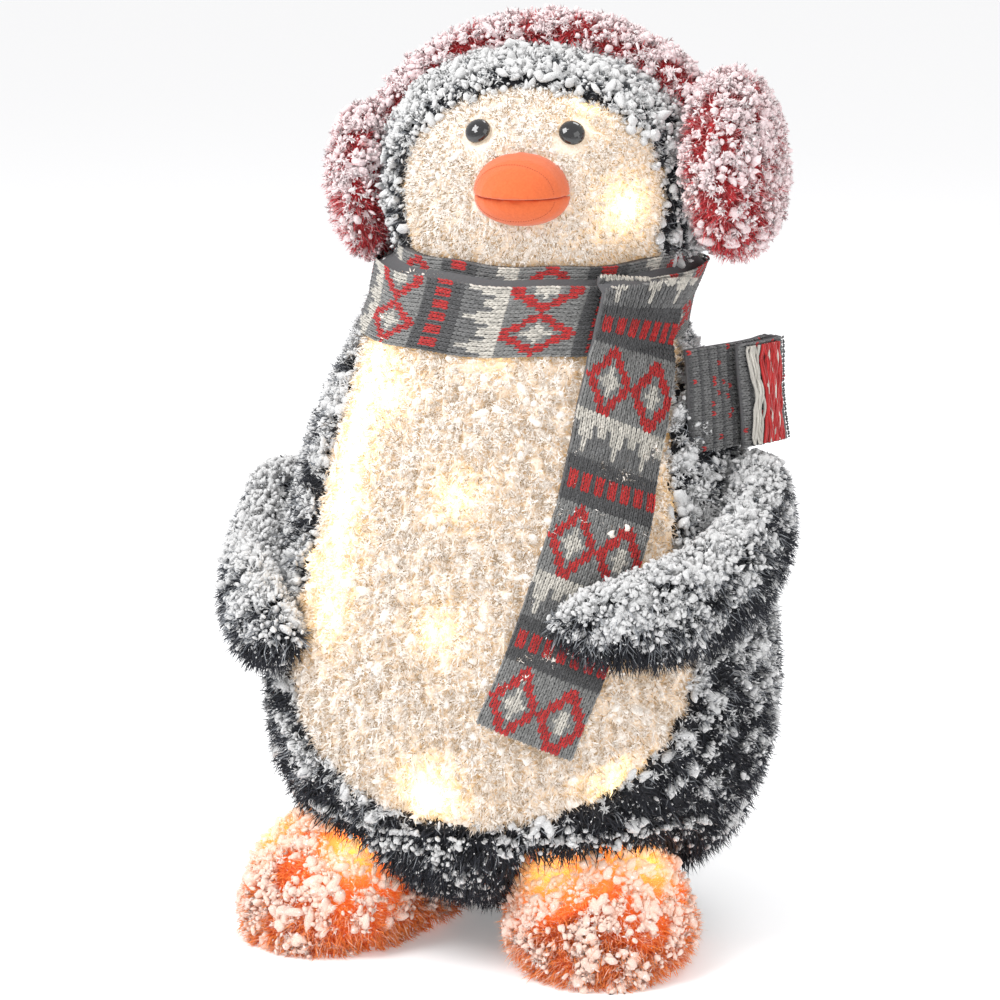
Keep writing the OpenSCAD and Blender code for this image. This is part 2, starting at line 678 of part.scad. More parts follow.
module shoulder_pin(side) {
    from = pin_frame_x(side) - bush_in - 3.5;
    at_pin(side) translate([0, 0, from]) cylinder(d = pin_d, h = pin_hub_x(side) + hub_t / 2 - from);
}
module pin_nut(side) {
    at_pin(side) translate([0, 0, pin_frame_x(side) - bush_in - 3]) difference() {
        cylinder(d = pin_d + 8, h = 2);
        translate([0, 0, -1]) cylinder(d = pin_d, h = 4);
    }
}
module shoulder_bush(side) {
    at_pin(side) translate([0, 0, pin_frame_x(side) - bush_in]) difference() {
        cylinder(d = bush_d, h = bush_in + bush_out);
        translate([0, 0, -1]) cylinder(d = pin_d + 2 * pin_clear, h = bush_in + bush_out + 2);
    }
}
module shoulder_bracket(side) {
    half_l = rib_r(pin_z(side)) * sin(22.5) + 1.5;
    at_pin(side) translate([0, 0, pin_frame_x(side)]) difference() {
        union() {
            cylinder(d = bush_d + 8, h = 2);
            translate([-5, -half_l, 0]) cube([10, 2 * half_l, 2]);
        }
        translate([0, 0, -1]) cylinder(d = bush_d, h = 4);
    }
}
module left_flipper_cover() color("#1a1b20") flipper_cover(-1);
module right_flipper_cover() color("#1a1b20") flipper_cover(1);
module left_flipper_frame() color("#9aa0a6") flipper_frame(-1);
module right_flipper_frame() color("#9aa0a6") flipper_frame(1);
module left_shoulder_pin() color("#c4c7ca") shoulder_pin(-1);
module right_shoulder_pin() color("#c4c7ca") shoulder_pin(1);
module left_pin_nut() color("#c4c7ca") pin_nut(-1);
module right_pin_nut() color("#c4c7ca") pin_nut(1);
module left_shoulder_bush() color("#ededea") shoulder_bush(-1);
module right_shoulder_bush() color("#ededea") shoulder_bush(1);
module left_shoulder_bracket() color("#8d9298") shoulder_bracket(-1);
module right_shoulder_bracket() color("#8d9298") shoulder_bracket(1);

// ---------------------------------------------------------------- lamps and lead

// The lead's way through the body: angle from the front, share of the way up, and 1 where it feeds
// a lamp; then its way through the head
BODY_RUN = [
    [180, 0.4, 0], [180, 0.505, 1], [230, 0.49, 1], [248, 0.385, 0], [265, 0.29, 1], [310, 0.265, 0],
    [354, 0.236, 1], [397, 0.262, 1], [455, 0.29, 1], [430, 0.41, 0], [357, 0.487, 1], [324, 0.494, 1],
    [310, 0.557, 1], [332, 0.65, 0], [360, 0.69, 1], [420, 0.665, 1], [450, 0.69, 0], [500, 0.69, 1],
    [560, 0.71, 1], [600, 0.775, 1], [650, 0.795, 0], [692, 0.807, 1], [724, 0.904, 1], [735, 0.945, 0]
];
HEAD_RUN = [
    [10, 0.11, 0], [-30, 0.14, 0], [-60, 0.2, 1], [-120, 0.32, 1], [-180, 0.39, 1], [-240, 0.38, 0],
    [-313, 0.34, 1], [-320, 0.58, 0], [-326, 0.81, 1]
];
function body_run(i) = [BODY_RUN[i][0], up(BODY_RUN[i][1]), BODY_RUN[i][2]];
function head_run(i) = [HEAD_RUN[i][0], hood_low + head_h * HEAD_RUN[i][1], HEAD_RUN[i][2]];
// Lamps inside a foot, from its middle
FOOT_LAMPS = [[-22, -40], [20, -30]];
bulb_l = 11;
holder_l = 14;
lamp_out = cover_t + 1;
lead_in = lamp_out + bulb_l + holder_l + lead_d / 2 + 0.2;
foot_lamp_z = foot_cover_t + 20;

// A frame under the skin at a point of a run, whose +Z points straight out through the skin
module under_skin(p, at, n) {
    translate(at) rotate([0, 0, p[0]]) rotate([90 - atan2(n[1], n[0]), 0, 0]) children();
}
head_at = [head_x, head_y, 0];
module at_lamps() {
    depth = lamp_out + bulb_l;
    for (i = [0 : len(BODY_RUN) - 1]) let (p = body_run(i)) if (p[2] == 1)
        under_skin(p, body_at + at_angle(p[0], under_body(p[1], depth)), body_n(p[1])) children();
    for (i = [0 : len(HEAD_RUN) - 1]) let (p = head_run(i)) if (p[2] == 1)
        under_skin(p, body_at + head_at + at_angle(p[0], under_hood(p[1], depth)), hood_n(p[1])) children();
    for (side = [-1, 1], p = FOOT_LAMPS)
        at_foot(side) translate([p[0], p[1], foot_lamp_z + holder_l]) children();
}
module lamp_bulbs() color("#ffdf9e") at_lamps() {
    rotate_extrude($fn = 24) polygon(concat(
        [[0, 0]], [for (a = [0 : 22.5 : 90])
            [lamp_d / 2 * cos(a), bulb_l - lamp_d / 2 + lamp_d / 2 * sin(a)]]
    ));
    cylinder(d = lamp_d, h = bulb_l - lamp_d / 2, $fn = 24);
}
module lamp_holders() color("#e9e6da") at_lamps()
    translate([0, 0, -holder_l]) cylinder(d = holder_d, h = holder_l, $fn = 24);
module lamp_rings() color("#f2f2ee") at_lamps()
    translate([0, 0, -3]) difference() {
        cylinder(d = holder_d + 8, h = 2, $fn = 24);
        translate([0, 0, -1]) cylinder(d = holder_d, h = 4, $fn = 24);
    }
function body_lead(a, z) = at_angle(a, under_body(z, lead_in));
function head_lead(a, z) = head_at + at_angle(a, under_hood(z, lead_in));
BODY_LEAD = [
    for (i = [0 : len(BODY_RUN) - 2], k = [0, 1 / 3, 2 / 3])
        let (p = mix(body_run(i), body_run(i + 1), k)) body_lead(p[0], p[1])
];
HEAD_LEAD = [
    for (i = [0 : len(HEAD_RUN) - 2], k = [0, 1 / 3, 2 / 3])
        let (p = mix(head_run(i), head_run(i + 1), k)) head_lead(p[0], p[1])
];
function turned(p, a) = [p[0] * cos(a) - p[1] * sin(a), p[0] * sin(a) + p[1] * cos(a), p[2]];
function foot_lead(side) =
    let (a = FOOT_LAMPS[0], b = FOOT_LAMPS[1], low = foot_lamp_z - lead_d / 2 - 0.2, x = -side * post_in)
        concat(
            [for (p = [[a[0] - 6, a[1], low], [a[0] + 12, a[1] - 4, low - 3], [b[0] - 8, b[1] - 2, low - 2],
                [b[0] + 1, b[1] + 2, low], [x + 6, foot_lead_y - 14, low], [x, foot_lead_y - 2, low + 6],
                [x, foot_lead_y, low + 14], [x, foot_lead_y, foot_h + 10], [x, foot_lead_y + 6, foot_h + 34]])
                foot_at(side) + turned(p, foot_turn(side))],
            [body_lead(side < 0 ? 318 : 397, up(0.325))]
        );
module lead(points) {
    skin(wire_rings(points, [for (p = points) [p[0], p[1], 0.01 * p[2]]], lead_d));
}
module light_lead() color("#1d3a26") translate(body_at) {
    lead(concat(BODY_LEAD, HEAD_LEAD, [head_lead(HEAD_RUN[8][0], head_run(8)[1])]));
    lead(foot_lead(-1));
    lead(foot_lead(1));
}

// ---------------------------------------------------------------- battery case

case_front = sqrt(pow(body_d / 2, 2) - pow(case_w / 2, 2)) - 5;
door_gap = 0.3;
door_drop = 10;
case_face = case_front - door_t - door_gap;
case_back = case_face - case_d;
plate_t = 0.6;
spring_l = 8;
cell_pitch = 19.5;
cell_bay_l = cell_l + spring_l + 2 * plate_t;
cell_bay_x = -case_w / 2 + case_wall;
board_bay_x = cell_bay_x + cell_bay_l + case_wall;
board_bay_w = case_w / 2 - case_wall - board_bay_x;
hinge_pin_d = 3;
knuckle_d = 7;
hinge_y = case_front - 3;
hinge_z = case_z - case_h / 2 - 4;
knob_x = board_bay_x + board_bay_w / 2;
knob_w = 4;
knob_h = 6;
CELL_ROWS = [-cell_pitch, 0, cell_pitch];
SCREWS = [cell_bay_x + 12, cell_bay_x + 44];
screw_d = 3;

// A block between two corners
module block(low, high) {
    translate(low) cube(high - low);
}
module along_hinge(from, to, d) {
    translate([from, hinge_y, hinge_z]) rotate([0, 90, 0]) cylinder(d = d, h = to - from, $fn = 48);
}
ear_w = 8;
ears = [cell_bay_x, board_bay_x - case_wall - ear_w];
module screw_holes(d) {
    for (x = SCREWS)
        translate([x, case_back - 4, case_z + cell_pitch / 2]) rotate([-90, 0, 0])
            cylinder(d = d, h = 4 + case_wall + 1, $fn = 32);
}
module battery_case() color("#2b2c30") translate(body_at) difference() {
    union() {
        block([-case_w / 2, case_back, case_z - case_h / 2], [case_w / 2, case_face, case_z + case_h / 2]);
        block([board_bay_x - case_wall + door_gap, case_face - 1, case_z - case_h / 2],
            [case_w / 2, case_front, case_z + case_h / 2]);
        for (x = ears) {
            along_hinge(x, x + ear_w, knuckle_d);
            block([x, case_face - 5, hinge_z], [x + ear_w, case_face, case_z - case_h / 2 + 1]);
        }
    }
    block([cell_bay_x, case_back + case_wall, case_z - case_h / 2 + case_wall],
        [cell_bay_x + cell_bay_l, case_face + 1, case_z + case_h / 2 - case_wall]);
    block([board_bay_x, case_back + case_wall, case_z - case_h / 2 + case_wall],
        [board_bay_x + board_bay_w, case_front - case_wall, case_z + case_h / 2 - case_wall]);
    slot_h = knob_h + 2 * switch_travel + 0.6;
    block([knob_x - knob_w / 2 - 0.3, case_front - case_wall - 1, case_z - slot_h / 2],
        [knob_x + knob_w / 2 + 0.3, case_front + 1, case_z + slot_h / 2]);
    along_hinge(cell_bay_x - 1, board_bay_x, hinge_pin_d);
    screw_holes(screw_d + 0.2);
}
module battery_door() color("#2f3035") translate(body_at) difference() {
    union() {
        block([-case_w / 2, case_front - door_t, case_z - case_h / 2],
            [board_bay_x - case_wall, case_front, case_z + case_h / 2]);
        along_hinge(ears[0] + ear_w + door_gap, ears[1] - door_gap, knuckle_d);
        block([ears[0] + ear_w + door_gap, case_front - door_t, hinge_z],
            [ears[1] - door_gap, case_front, case_z - case_h / 2 + 1]);
        // Finger ridge along the top edge
        block([-26, case_front - 0.5, case_z + case_h / 2 - 8],
            [4, case_front + 1.2, case_z + case_h / 2 - 5]);
    }
    along_hinge(ears[0], ears[1] + ear_w, hinge_pin_d + 0.1);
}
module door_hinge_pin() color("#c4c7ca") translate(body_at)
    along_hinge(ears[0], ears[1] + ear_w, hinge_pin_d);
cell_y = case_back + case_wall + cell_d / 2 + 1;
module in_rows() {
    for (z = CELL_ROWS) translate([cell_bay_x, cell_y, case_z + z]) rotate([0, 90, 0]) children();
}
module cells() color("#3f6f8f") translate(body_at) in_rows()
    translate([0, 0, plate_t + spring_l]) {
        cylinder(d = cell_d, h = cell_l - 1.5);
        translate([0, 0, cell_l - 1.5]) cylinder(d = 5.5, h = 1.5);
    }
// A conical coil of three and a half turns
module coil_spring() {
    wire = 0.9;
    turns = 3.5;
    path = [
        for (i = [0 : 35])
            let (t = i / 35, r = mix(5, 3, t), a = 360 * turns * t)
                [r * cos(a), r * sin(a), mix(wire / 2, spring_l - wire / 2, t)]
    ];
    skin(wire_rings(path, [for (p = path) [0, 0, 1]], wire));
}
module cell_springs() color("#c4c7ca") translate(body_at) in_rows()
    translate([0, 0, plate_t]) coil_spring();
module contact_plates() color("#c9b26a") translate(body_at) in_rows()
    for (x = [0, cell_bay_l - plate_t])
        translate([-6, -6, x]) cube([12, 12, plate_t]);
board_y = case_back + case_wall + 10;
module control_board() color("#2f6b3c") translate(body_at) {
    block([board_bay_x + 1, board_y, case_z - 26],
        [board_bay_x + board_bay_w - 1, board_y + 1.6, case_z + 26]);
    block([knob_x - 4, board_y + 1.6, case_z - 8], [knob_x + 4, case_front - case_wall - 3, case_z + 8]);
    block([knob_x - 3, board_y + 1.6, case_z + 13], [knob_x + 3, board_y + 4, case_z + 21]);
}
module switch_knob() color("#e6e6e2") translate(body_at) {
    block([knob_x - knob_w / 2, case_front - case_wall - 2.5, case_z - knob_h / 2],
        [knob_x + knob_w / 2, case_front + 0.6, case_z + knob_h / 2]);
    for (i = [-1 : 1])
        block([knob_x - knob_w, case_front + 0.3, case_z - knob_h / 2 + (i + 1) * 2.2],
            [knob_x + knob_w, case_front + (i == 0 ? 2.6 : 3.4), case_z - knob_h / 2 + (i + 1) * 2.2 + 1.6]);
}
// A bent strap between the two back ribs
module case_bracket() color("#8d9298") translate(body_at) {
    rib = rib_r(case_z);
    end = [rib * sin(22.5), rib * cos(22.5) - wire_d / 2 - 1.4];
    difference() {
        translate([0, 0, case_z - 14]) linear_extrude(28) polygon([
            [-end[0] - 1, end[1]], [-case_w / 2 - 4, case_back - 2], [case_w / 2 + 4, case_back - 2],
            [end[0] + 1, end[1]], [end[0] - 1, end[1]],
            [case_w / 2 + 3, case_back], [-case_w / 2 - 3, case_back], [-end[0] + 1, end[1]]
        ]);
        screw_holes(screw_d + 0.2);
    }
}
module case_screws() color("#c4c7ca") translate(body_at)
    for (x = SCREWS)
        translate([x, case_back - 4, case_z + cell_pitch / 2]) rotate([-90, 0, 0]) {
            cylinder(d = screw_d, h = 4 + case_wall, $fn = 32);
            translate([0, 0, 4 + case_wall]) cylinder(d = 5.6, h = 1.4, $fn = 32);
        }

back_cover();
base_cover();
belly_panel();
body_hoops();
body_ribs();
foot_bridge();
neck_plate();
hood_cover();
face_panel();
head_frame();
left_eye();
right_eye();
eye_washers();
upper_beak();
lower_beak();
left_earmuff();
right_earmuff();
earmuff_discs();
headband();
headband_core();
scarf();
left_flipper_cover();
left_flipper_frame();
left_shoulder_pin();
left_pin_nut();
left_shoulder_bush();
left_shoulder_bracket();
right_flipper_cover();
right_flipper_frame();
right_shoulder_pin();
right_pin_nut();
right_shoulder_bush();
right_shoulder_bracket();
left_foot_cover();
left_foot_frame();
right_foot_cover();
right_foot_frame();
lamp_bulbs();
lamp_holders();
lamp_rings();
light_lead();
battery_case();
battery_door();
door_hinge_pin();
cells();
cell_springs();
contact_plates();
control_board();
switch_knob();
case_bracket();
case_screws();
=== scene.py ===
"""A pre-lit plush penguin with earmuffs and a knitted scarf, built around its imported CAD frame."""
import math

import bmesh
import bpy
import numpy as np
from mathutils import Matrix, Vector
from mathutils.bvhtree import BVHTree


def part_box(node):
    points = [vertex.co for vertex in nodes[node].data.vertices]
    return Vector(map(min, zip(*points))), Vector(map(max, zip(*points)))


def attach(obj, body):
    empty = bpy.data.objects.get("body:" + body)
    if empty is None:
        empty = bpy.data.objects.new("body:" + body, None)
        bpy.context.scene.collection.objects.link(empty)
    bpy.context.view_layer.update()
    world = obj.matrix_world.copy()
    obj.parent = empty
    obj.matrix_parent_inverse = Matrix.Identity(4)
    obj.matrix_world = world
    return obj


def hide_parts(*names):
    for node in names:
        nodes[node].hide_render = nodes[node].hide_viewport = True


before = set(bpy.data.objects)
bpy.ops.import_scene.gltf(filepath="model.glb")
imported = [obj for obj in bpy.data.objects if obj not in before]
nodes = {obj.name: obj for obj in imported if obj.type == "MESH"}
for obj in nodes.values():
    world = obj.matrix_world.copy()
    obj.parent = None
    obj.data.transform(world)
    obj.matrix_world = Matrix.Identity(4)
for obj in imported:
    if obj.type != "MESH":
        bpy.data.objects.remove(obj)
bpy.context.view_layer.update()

# ---------------------------------------------------------------- camera, floor and light
# A plain pale studio: one wide white floor, an even white surround, and three soft lights.
# The camera stands a little to the figure's left and a little above it, far enough back that
# the figure keeps its true proportions.
look_at = Vector((-0.0113, -0.0019, 0.286))
camera_turn = math.radians(17)
camera_rise = math.radians(12)
camera_away = 2.6
view_width = 0.667


def aim(thing, away):
    """Turn a camera or a light to face the middle of the figure."""
    thing.location = look_at + away
    thing.rotation_euler = away.to_track_quat("Z", "Y").to_euler()


def from_angles(turn, rise, away):
    """A point that far away from the figure, at a turn from its front and a rise above the floor."""
    flat = math.cos(rise) * away
    return Vector((math.sin(turn) * flat, -math.cos(turn) * flat, math.sin(rise) * away))


camera = bpy.data.objects.new("camera", bpy.data.cameras.new("camera"))
camera.data.lens = camera.data.sensor_width * camera_away / view_width
aim(camera, from_angles(camera_turn, camera_rise, camera_away))
bpy.context.scene.collection.objects.link(camera)
bpy.context.scene.camera = camera

floor_mesh = bpy.data.meshes.new("floor")
floor_reach = 40
floor_corners = [(x * floor_reach, y * floor_reach, 0) for x, y in ((-1, -1), (1, -1), (1, 1), (-1, 1))]
floor_mesh.from_pydata(floor_corners, [], [(0, 1, 2, 3)])
floor = bpy.data.objects.new("floor", floor_mesh)
bpy.context.scene.collection.objects.link(floor)
floor_paint = bpy.data.materials.new("floor_paint")
floor_paint.use_nodes = True
floor_shader = floor_paint.node_tree.nodes["Principled BSDF"]
floor_shader.inputs["Base Color"].default_value = (0.93, 0.93, 0.94, 1)
floor_shader.inputs["Roughness"].default_value = 0.9
floor_shader.inputs["Emission Color"].default_value = (1, 1, 1, 1)
floor_shader.inputs["Emission Strength"].default_value = 0.24
floor_mesh.materials.append(floor_paint)

surround = bpy.data.worlds.new("surround")
surround.use_nodes = True
surround.node_tree.nodes["Background"].inputs["Color"].default_value = (1, 1, 1, 1)
surround.node_tree.nodes["Background"].inputs["Strength"].default_value = 0.74
bpy.context.scene.world = surround
bpy.context.scene.view_settings.view_transform = "Standard"

for name, turn, rise, away, size, power in (
    ("key_light", -38, 48, 2.4, 1.3, 46),
    ("fill_light", 60, 25, 2.8, 1.8, 12),
    ("back_light", 165, 50, 2.4, 1.2, 20),
):
    lamp = bpy.data.objects.new(name, bpy.data.lights.new(name, "AREA"))
    lamp.data.size = size
    lamp.data.energy = power
    aim(lamp, from_angles(math.radians(turn), math.radians(rise), away))
    bpy.context.scene.collection.objects.link(lamp)

# ---------------------------------------------------------------- wire frame
# Hoops, ribs, foot loops and flipper loops are drawn steel wire, welded where they cross, with a
# pressed neck plate and strap brackets. They keep the shapes of the frame that everything hangs on.


def group_sockets(group, given, taken):
    """Name a shader group's inputs and outputs, each with its kind of value."""
    for way, sockets in (("INPUT", given), ("OUTPUT", taken)):
        for name, kind in sockets:
            group.interface.new_socket(name, in_out=way, socket_type="NodeSocket" + kind)
    return group.nodes.new("NodeGroupInput"), group.nodes.new("NodeGroupOutput")


def add_node(tree, kind, fed=(), fixed=(), **settings):
    """Add a shader node with its settings, the inputs that are fixed and the inputs that are fed."""
    node = tree.nodes.new("ShaderNode" + kind)
    for key, value in settings.items():
        setattr(node, key, value)
    for key, value in dict(fixed).items():
        node.inputs[key].default_value = value
    for key, socket in dict(fed).items():
        tree.links.new(socket, node.inputs[key])
    return node


def hand_out(group, taken, **sockets):
    """Feed a shader group's outputs."""
    for key, socket in sockets.items():
        group.links.new(socket, taken.inputs[key])


def mottle_group():
    """Two colours and two roughnesses mixed by fine noise, and the noise as a height."""
    group = bpy.data.node_groups.new("mottle", "ShaderNodeTree")
    given, taken = group_sockets(
        group,
        [("Colour", "Color"), ("Second Colour", "Color"), ("Scale", "Float"), ("Smooth", "Float"),
         ("Rough", "Float")],
        [("Color", "Color"), ("Roughness", "Float"), ("Height", "Float")],
    )
    get = given.outputs
    where = add_node(group, "TexCoord").outputs["Object"]
    noise = add_node(group, "TexNoise", {"Vector": where, "Scale": get["Scale"]}, {"Detail": 5}).outputs[0]
    blend = add_node(
        group, "Mix", {"Factor": noise, 6: get["Colour"], 7: get["Second Colour"]}, data_type="RGBA"
    )
    rough = add_node(group, "Mix", {"Factor": noise, 2: get["Smooth"], 3: get["Rough"]})
    hand_out(group, taken, Color=blend.outputs[2], Roughness=rough.outputs[0], Height=noise)
    return group


mottle = mottle_group()


def place_group(paint, group, **values):
    """Put a shader group in a material and set its inputs."""
    put = paint.node_tree.nodes.new("ShaderNodeGroup")
    put.node_tree = group
    for name, value in values.items():
        socket = put.inputs[name.replace("_", " ")]
        socket.default_value = (*value, 1) if isinstance(value, tuple) else value
    return put


def bump_into(paint, height, strength, distance):
    """Feed a height through a bump node into the material's normal."""
    tree = paint.node_tree
    bump = add_node(tree, "Bump", {"Height": height}, {"Strength": strength, "Distance": distance})
    tree.links.new(bump.outputs["Normal"], tree.nodes["Principled BSDF"].inputs["Normal"])


def hard_finish(name, colour, second, scale, smooth, rough, metal=0.0, coat=0.0, bump=0.15, clear=0.0):
    """A moulded, drawn or plated finish: two close tones, uneven gloss and a fine grain."""
    paint = bpy.data.materials.new(name)
    paint.use_nodes = True
    shader = paint.node_tree.nodes["Principled BSDF"]
    shader.inputs["Metallic"].default_value = metal
    shader.inputs["Coat Weight"].default_value = coat
    shader.inputs["Transmission Weight"].default_value = clear
    grain = place_group(
        paint, mottle, Colour=colour, Second_Colour=second, Scale=scale, Smooth=smooth, Rough=rough
    )
    paint.node_tree.links.new(grain.outputs["Color"], shader.inputs["Base Color"])
    paint.node_tree.links.new(grain.outputs["Roughness"], shader.inputs["Roughness"])
    bump_into(paint, grain.outputs["Height"], bump, 0.0004)
    return paint


def finish_nodes(paint, *names):
    """Give frame nodes that keep their shape their real finish."""
    for name in names:
        nodes[name].data.materials.clear()
        nodes[name].data.materials.append(paint)


finish_nodes(
    hard_finish("frame_steel", (0.42, 0.43, 0.45), (0.30, 0.31, 0.33), 260, 0.3, 0.5, metal=1.0),
    "body_hoops", "body_ribs", "foot_bridge", "neck_plate", "head_frame", "headband_core",
    "left_flipper_frame", "right_flipper_frame", "left_foot_frame", "right_foot_frame",
    "left_shoulder_bracket", "right_shoulder_bracket", "case_bracket"
)
finish_nodes(
    hard_finish("pin_steel", (0.62, 0.63, 0.65), (0.52, 0.53, 0.55), 400, 0.16, 0.3, metal=1.0),
    "left_shoulder_pin", "right_shoulder_pin", "left_pin_nut", "right_pin_nut",
)
finish_nodes(
    hard_finish("bush_nylon", (0.82, 0.82, 0.79), (0.76, 0.76, 0.73), 300, 0.4, 0.55),
    "left_shoulder_bush", "right_shoulder_bush", "earmuff_discs", "eye_washers",
)

# ---------------------------------------------------------------- lamps
# Miniature warm lamps stand in moulded holders that clip to the frame just under the covers, on one
# twisted lead. Their light shows through the pile, so the place of each lamp is kept here.


def read(owner, name, width, kind=np.float32):
    """One property of every item of a mesh's vertices, polygons or triangles, as an array."""
    values = np.empty(len(owner) * width, kind)
    owner.foreach_get(name, values)
    return values.reshape(-1, width) if width > 1 else values


def unit(v):
    return v / np.maximum(np.linalg.norm(v, axis=-1, keepdims=True), 1e-9)


def islands(mesh):
    """The vertex positions of each separate part of a mesh."""
    shape = bmesh.new()
    shape.from_mesh(mesh)
    bmesh.ops.remove_doubles(shape, verts=shape.verts, dist=1e-6)
    left = set(shape.verts)
    parts = []
    while left:
        reached = [left.pop()]
        part = []
        while reached:
            corner = reached.pop()
            part.append(tuple(corner.co))
            for edge in corner.link_edges:
                other = edge.other_vert(corner)
                if other in left:
                    left.discard(other)
                    reached.append(other)
        parts.append(np.array(part))
    shape.free()
    return parts


lamps = np.array([part.mean(0) for part in islands(nodes["lamp_bulbs"].data)])


# Low front lamps and those in the head sit closest to their covers and look brightest
lamp_power = np.where(lamps[:, 2] > 0.45, 1.5, np.where(lamps[:, 2] < 0.17, 1.9, 0.7))
lamp_power[lamps[:, 2] > 0.53] = 0.5


deepest_showing = 0.045


def light_through(surface, core, halo, share):
    """A rule for the lamp light at points of the pile: a small core over each lamp and a wider halo."""
    ways = []
    for lamp_at, power in zip(lamps, lamp_power):
        away = surface[0] - lamp_at
        depth = np.linalg.norm(away, axis=1)
        if depth.min() < deepest_showing:
            ways.append((lamp_at, power, unit(away[depth.argmin()])))

    def light(points):
        total = np.zeros(len(points))
        for lamp_at, power, way in ways:
            away = points - lamp_at
            ahead = away @ way
            off = (away ** 2).sum(1) - ahead ** 2
            total += (ahead > 0) * power * (np.exp(-off / core ** 2) + share * np.exp(-off / halo ** 2))
        return total

    return light


lamp_glass = hard_finish("lamp_glass", (1.0, 0.9, 0.7), (1.0, 0.84, 0.6), 500, 0.05, 0.12, clear=0.6)
lamp_glass.node_tree.nodes["Principled BSDF"].inputs["Emission Color"].default_value = (1.0, 0.72, 0.36, 1)
lamp_glass.node_tree.nodes["Principled BSDF"].inputs["Emission Strength"].default_value = 6
holder_plastic = hard_finish("holder_plastic", (0.78, 0.76, 0.70), (0.70, 0.68, 0.62), 350, 0.35, 0.5)
lead_cover = hard_finish("lead_cover", (0.02, 0.06, 0.03), (0.03, 0.09, 0.045), 250, 0.4, 0.55)
finish_nodes(lamp_glass, "lamp_bulbs")
finish_nodes(holder_plastic, "lamp_holders", "lamp_rings")
finish_nodes(lead_cover, "light_lead")

# ---------------------------------------------------------------- body covers
# The back and base covers are cut from knitted backing with long black tinsel pile, sewn along the
# belly panel and pulled over the hoops. Sprayed flock lies in clumps on every face that looks up,
# and bare dark fibres show between the clumps and hang from the undersides.
draws = np.random.default_rng(11)
floor_clear = 0.0003


def noise_at(points, wave, seed):
    """Smooth random patches about a wave long, from -1 to 1."""
    local = np.random.default_rng(seed)
    total = np.zeros(len(points))
    for turn in range(7):
        way = unit(local.normal(size=3)) * 2 * math.pi / (wave * local.uniform(0.7, 1.4))
        total += np.sin(points @ way + local.uniform(0, 2 * math.pi))
    return np.clip(total / 3, -1, 1)


def shaped(name, mesh, paint, body):
    """Add a mesh to the scene as a piece that rides on a body."""
    piece = bpy.data.objects.new(name, mesh)
    bpy.context.scene.collection.objects.link(piece)
    mesh.materials.clear()
    mesh.materials.append(paint)
    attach(piece, body)
    return piece


def evened(node, voxel, rounds):
    """A copy of a frame node's mesh with even small faces, smoothed."""
    rough = bpy.data.objects.new("rough", nodes[node].data.copy())
    bpy.context.scene.collection.objects.link(rough)
    remesh = rough.modifiers.new("even", "REMESH")
    remesh.mode = "VOXEL"
    remesh.voxel_size = voxel
    soften = rough.modifiers.new("soften", "SMOOTH")
    soften.iterations = rounds
    seen = rough.evaluated_get(bpy.context.evaluated_depsgraph_get())
    mesh = bpy.data.meshes.new_from_object(seen)
    bpy.data.objects.remove(rough)
    return mesh


def backing(name, node, voxel, paint, body, lump=0.0015, wave=0.02, inset=0.0):
    """The cloth that the pile stands on: the node's shell, evened out and given soft lumps."""
    mesh = evened(node, voxel, 3)
    points = read(mesh.vertices, "co", 3)
    normals = read(mesh.vertices, "normal", 3)
    points += normals * (lump * noise_at(points, wave, 5) - inset)[:, None]
    points[:, 2] = np.maximum(points[:, 2], floor_clear)
    mesh.vertices.foreach_set("co", points.ravel())
    mesh.update()
    piece = shaped(name, mesh, paint, body)
    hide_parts(node)
    return piece


def outside(piece, middle=None):
    """The triangles of a backing that face outwards, as corner, two edges, normal and area."""
    mesh = piece.data
    mesh.calc_loop_triangles()
    corners = read(mesh.loop_triangles, "vertices", 3, np.int32)
    points = read(mesh.vertices, "co", 3)
    a, b, c = (points[corners[:, k]] for k in range(3))
    cross = np.cross(b - a, c - a)
    area = np.linalg.norm(cross, axis=1) / 2
    normal = unit(cross)
    centre = (a + b + c) / 3
    if middle is None:
        tree = BVHTree.FromPolygons(points.tolist(), corners.tolist())
        keep = np.array([
            tree.ray_cast(Vector(p) + Vector(n) * 1e-4, Vector(n))[0] is None
            for p, n in zip(centre.tolist(), normal.tolist())
        ])
    else:
        away = centre - np.array(middle)
        keep = (away * normal).sum(1) > 0.25 * np.linalg.norm(away, axis=1)
    return a[keep], (b - a)[keep], (c - a)[keep], normal[keep], area[keep]


def scatter(surface, count, weight=None):
    """Points spread over a surface by area, more of them where the weight is higher."""
    a, ab, ac, normal, area = surface
    share = area.astype(float)
    if weight is not None:
        share = share * np.maximum(weight(a + (ab + ac) / 3, normal), 0)
    pick = draws.choice(len(share), size=count, p=share / share.sum())
    u, v = draws.random((2, count))
    over = u + v > 1
    u[over], v[over] = 1 - u[over], 1 - v[over]
    return a[pick] + ab[pick] * u[:, None] + ac[pick] * v[:, None], normal[pick]


def mesh_of(name, points, triangles, facing=None, **values):
    """A mesh from arrays of points and triangles, with values and a facing kept at its points."""
    mesh = bpy.data.meshes.new(name)
    mesh.vertices.add(len(points))
    mesh.vertices.foreach_set("co", points.astype(np.float32).ravel())
    mesh.loops.add(triangles.size)
    mesh.loops.foreach_set("vertex_index", triangles.astype(np.int32).ravel())
    mesh.polygons.add(len(triangles))
    mesh.polygons.foreach_set("loop_start", np.arange(0, triangles.size, 3, dtype=np.int32))
    for key, value in values.items():
        layer = mesh.attributes.new(key, "FLOAT", "POINT")
        layer.data.foreach_set("value", value.astype(np.float32))
    mesh.update(calc_edges=True)
    if facing is not None:
        mesh.normals_split_custom_set_from_vertices(facing)
    return mesh


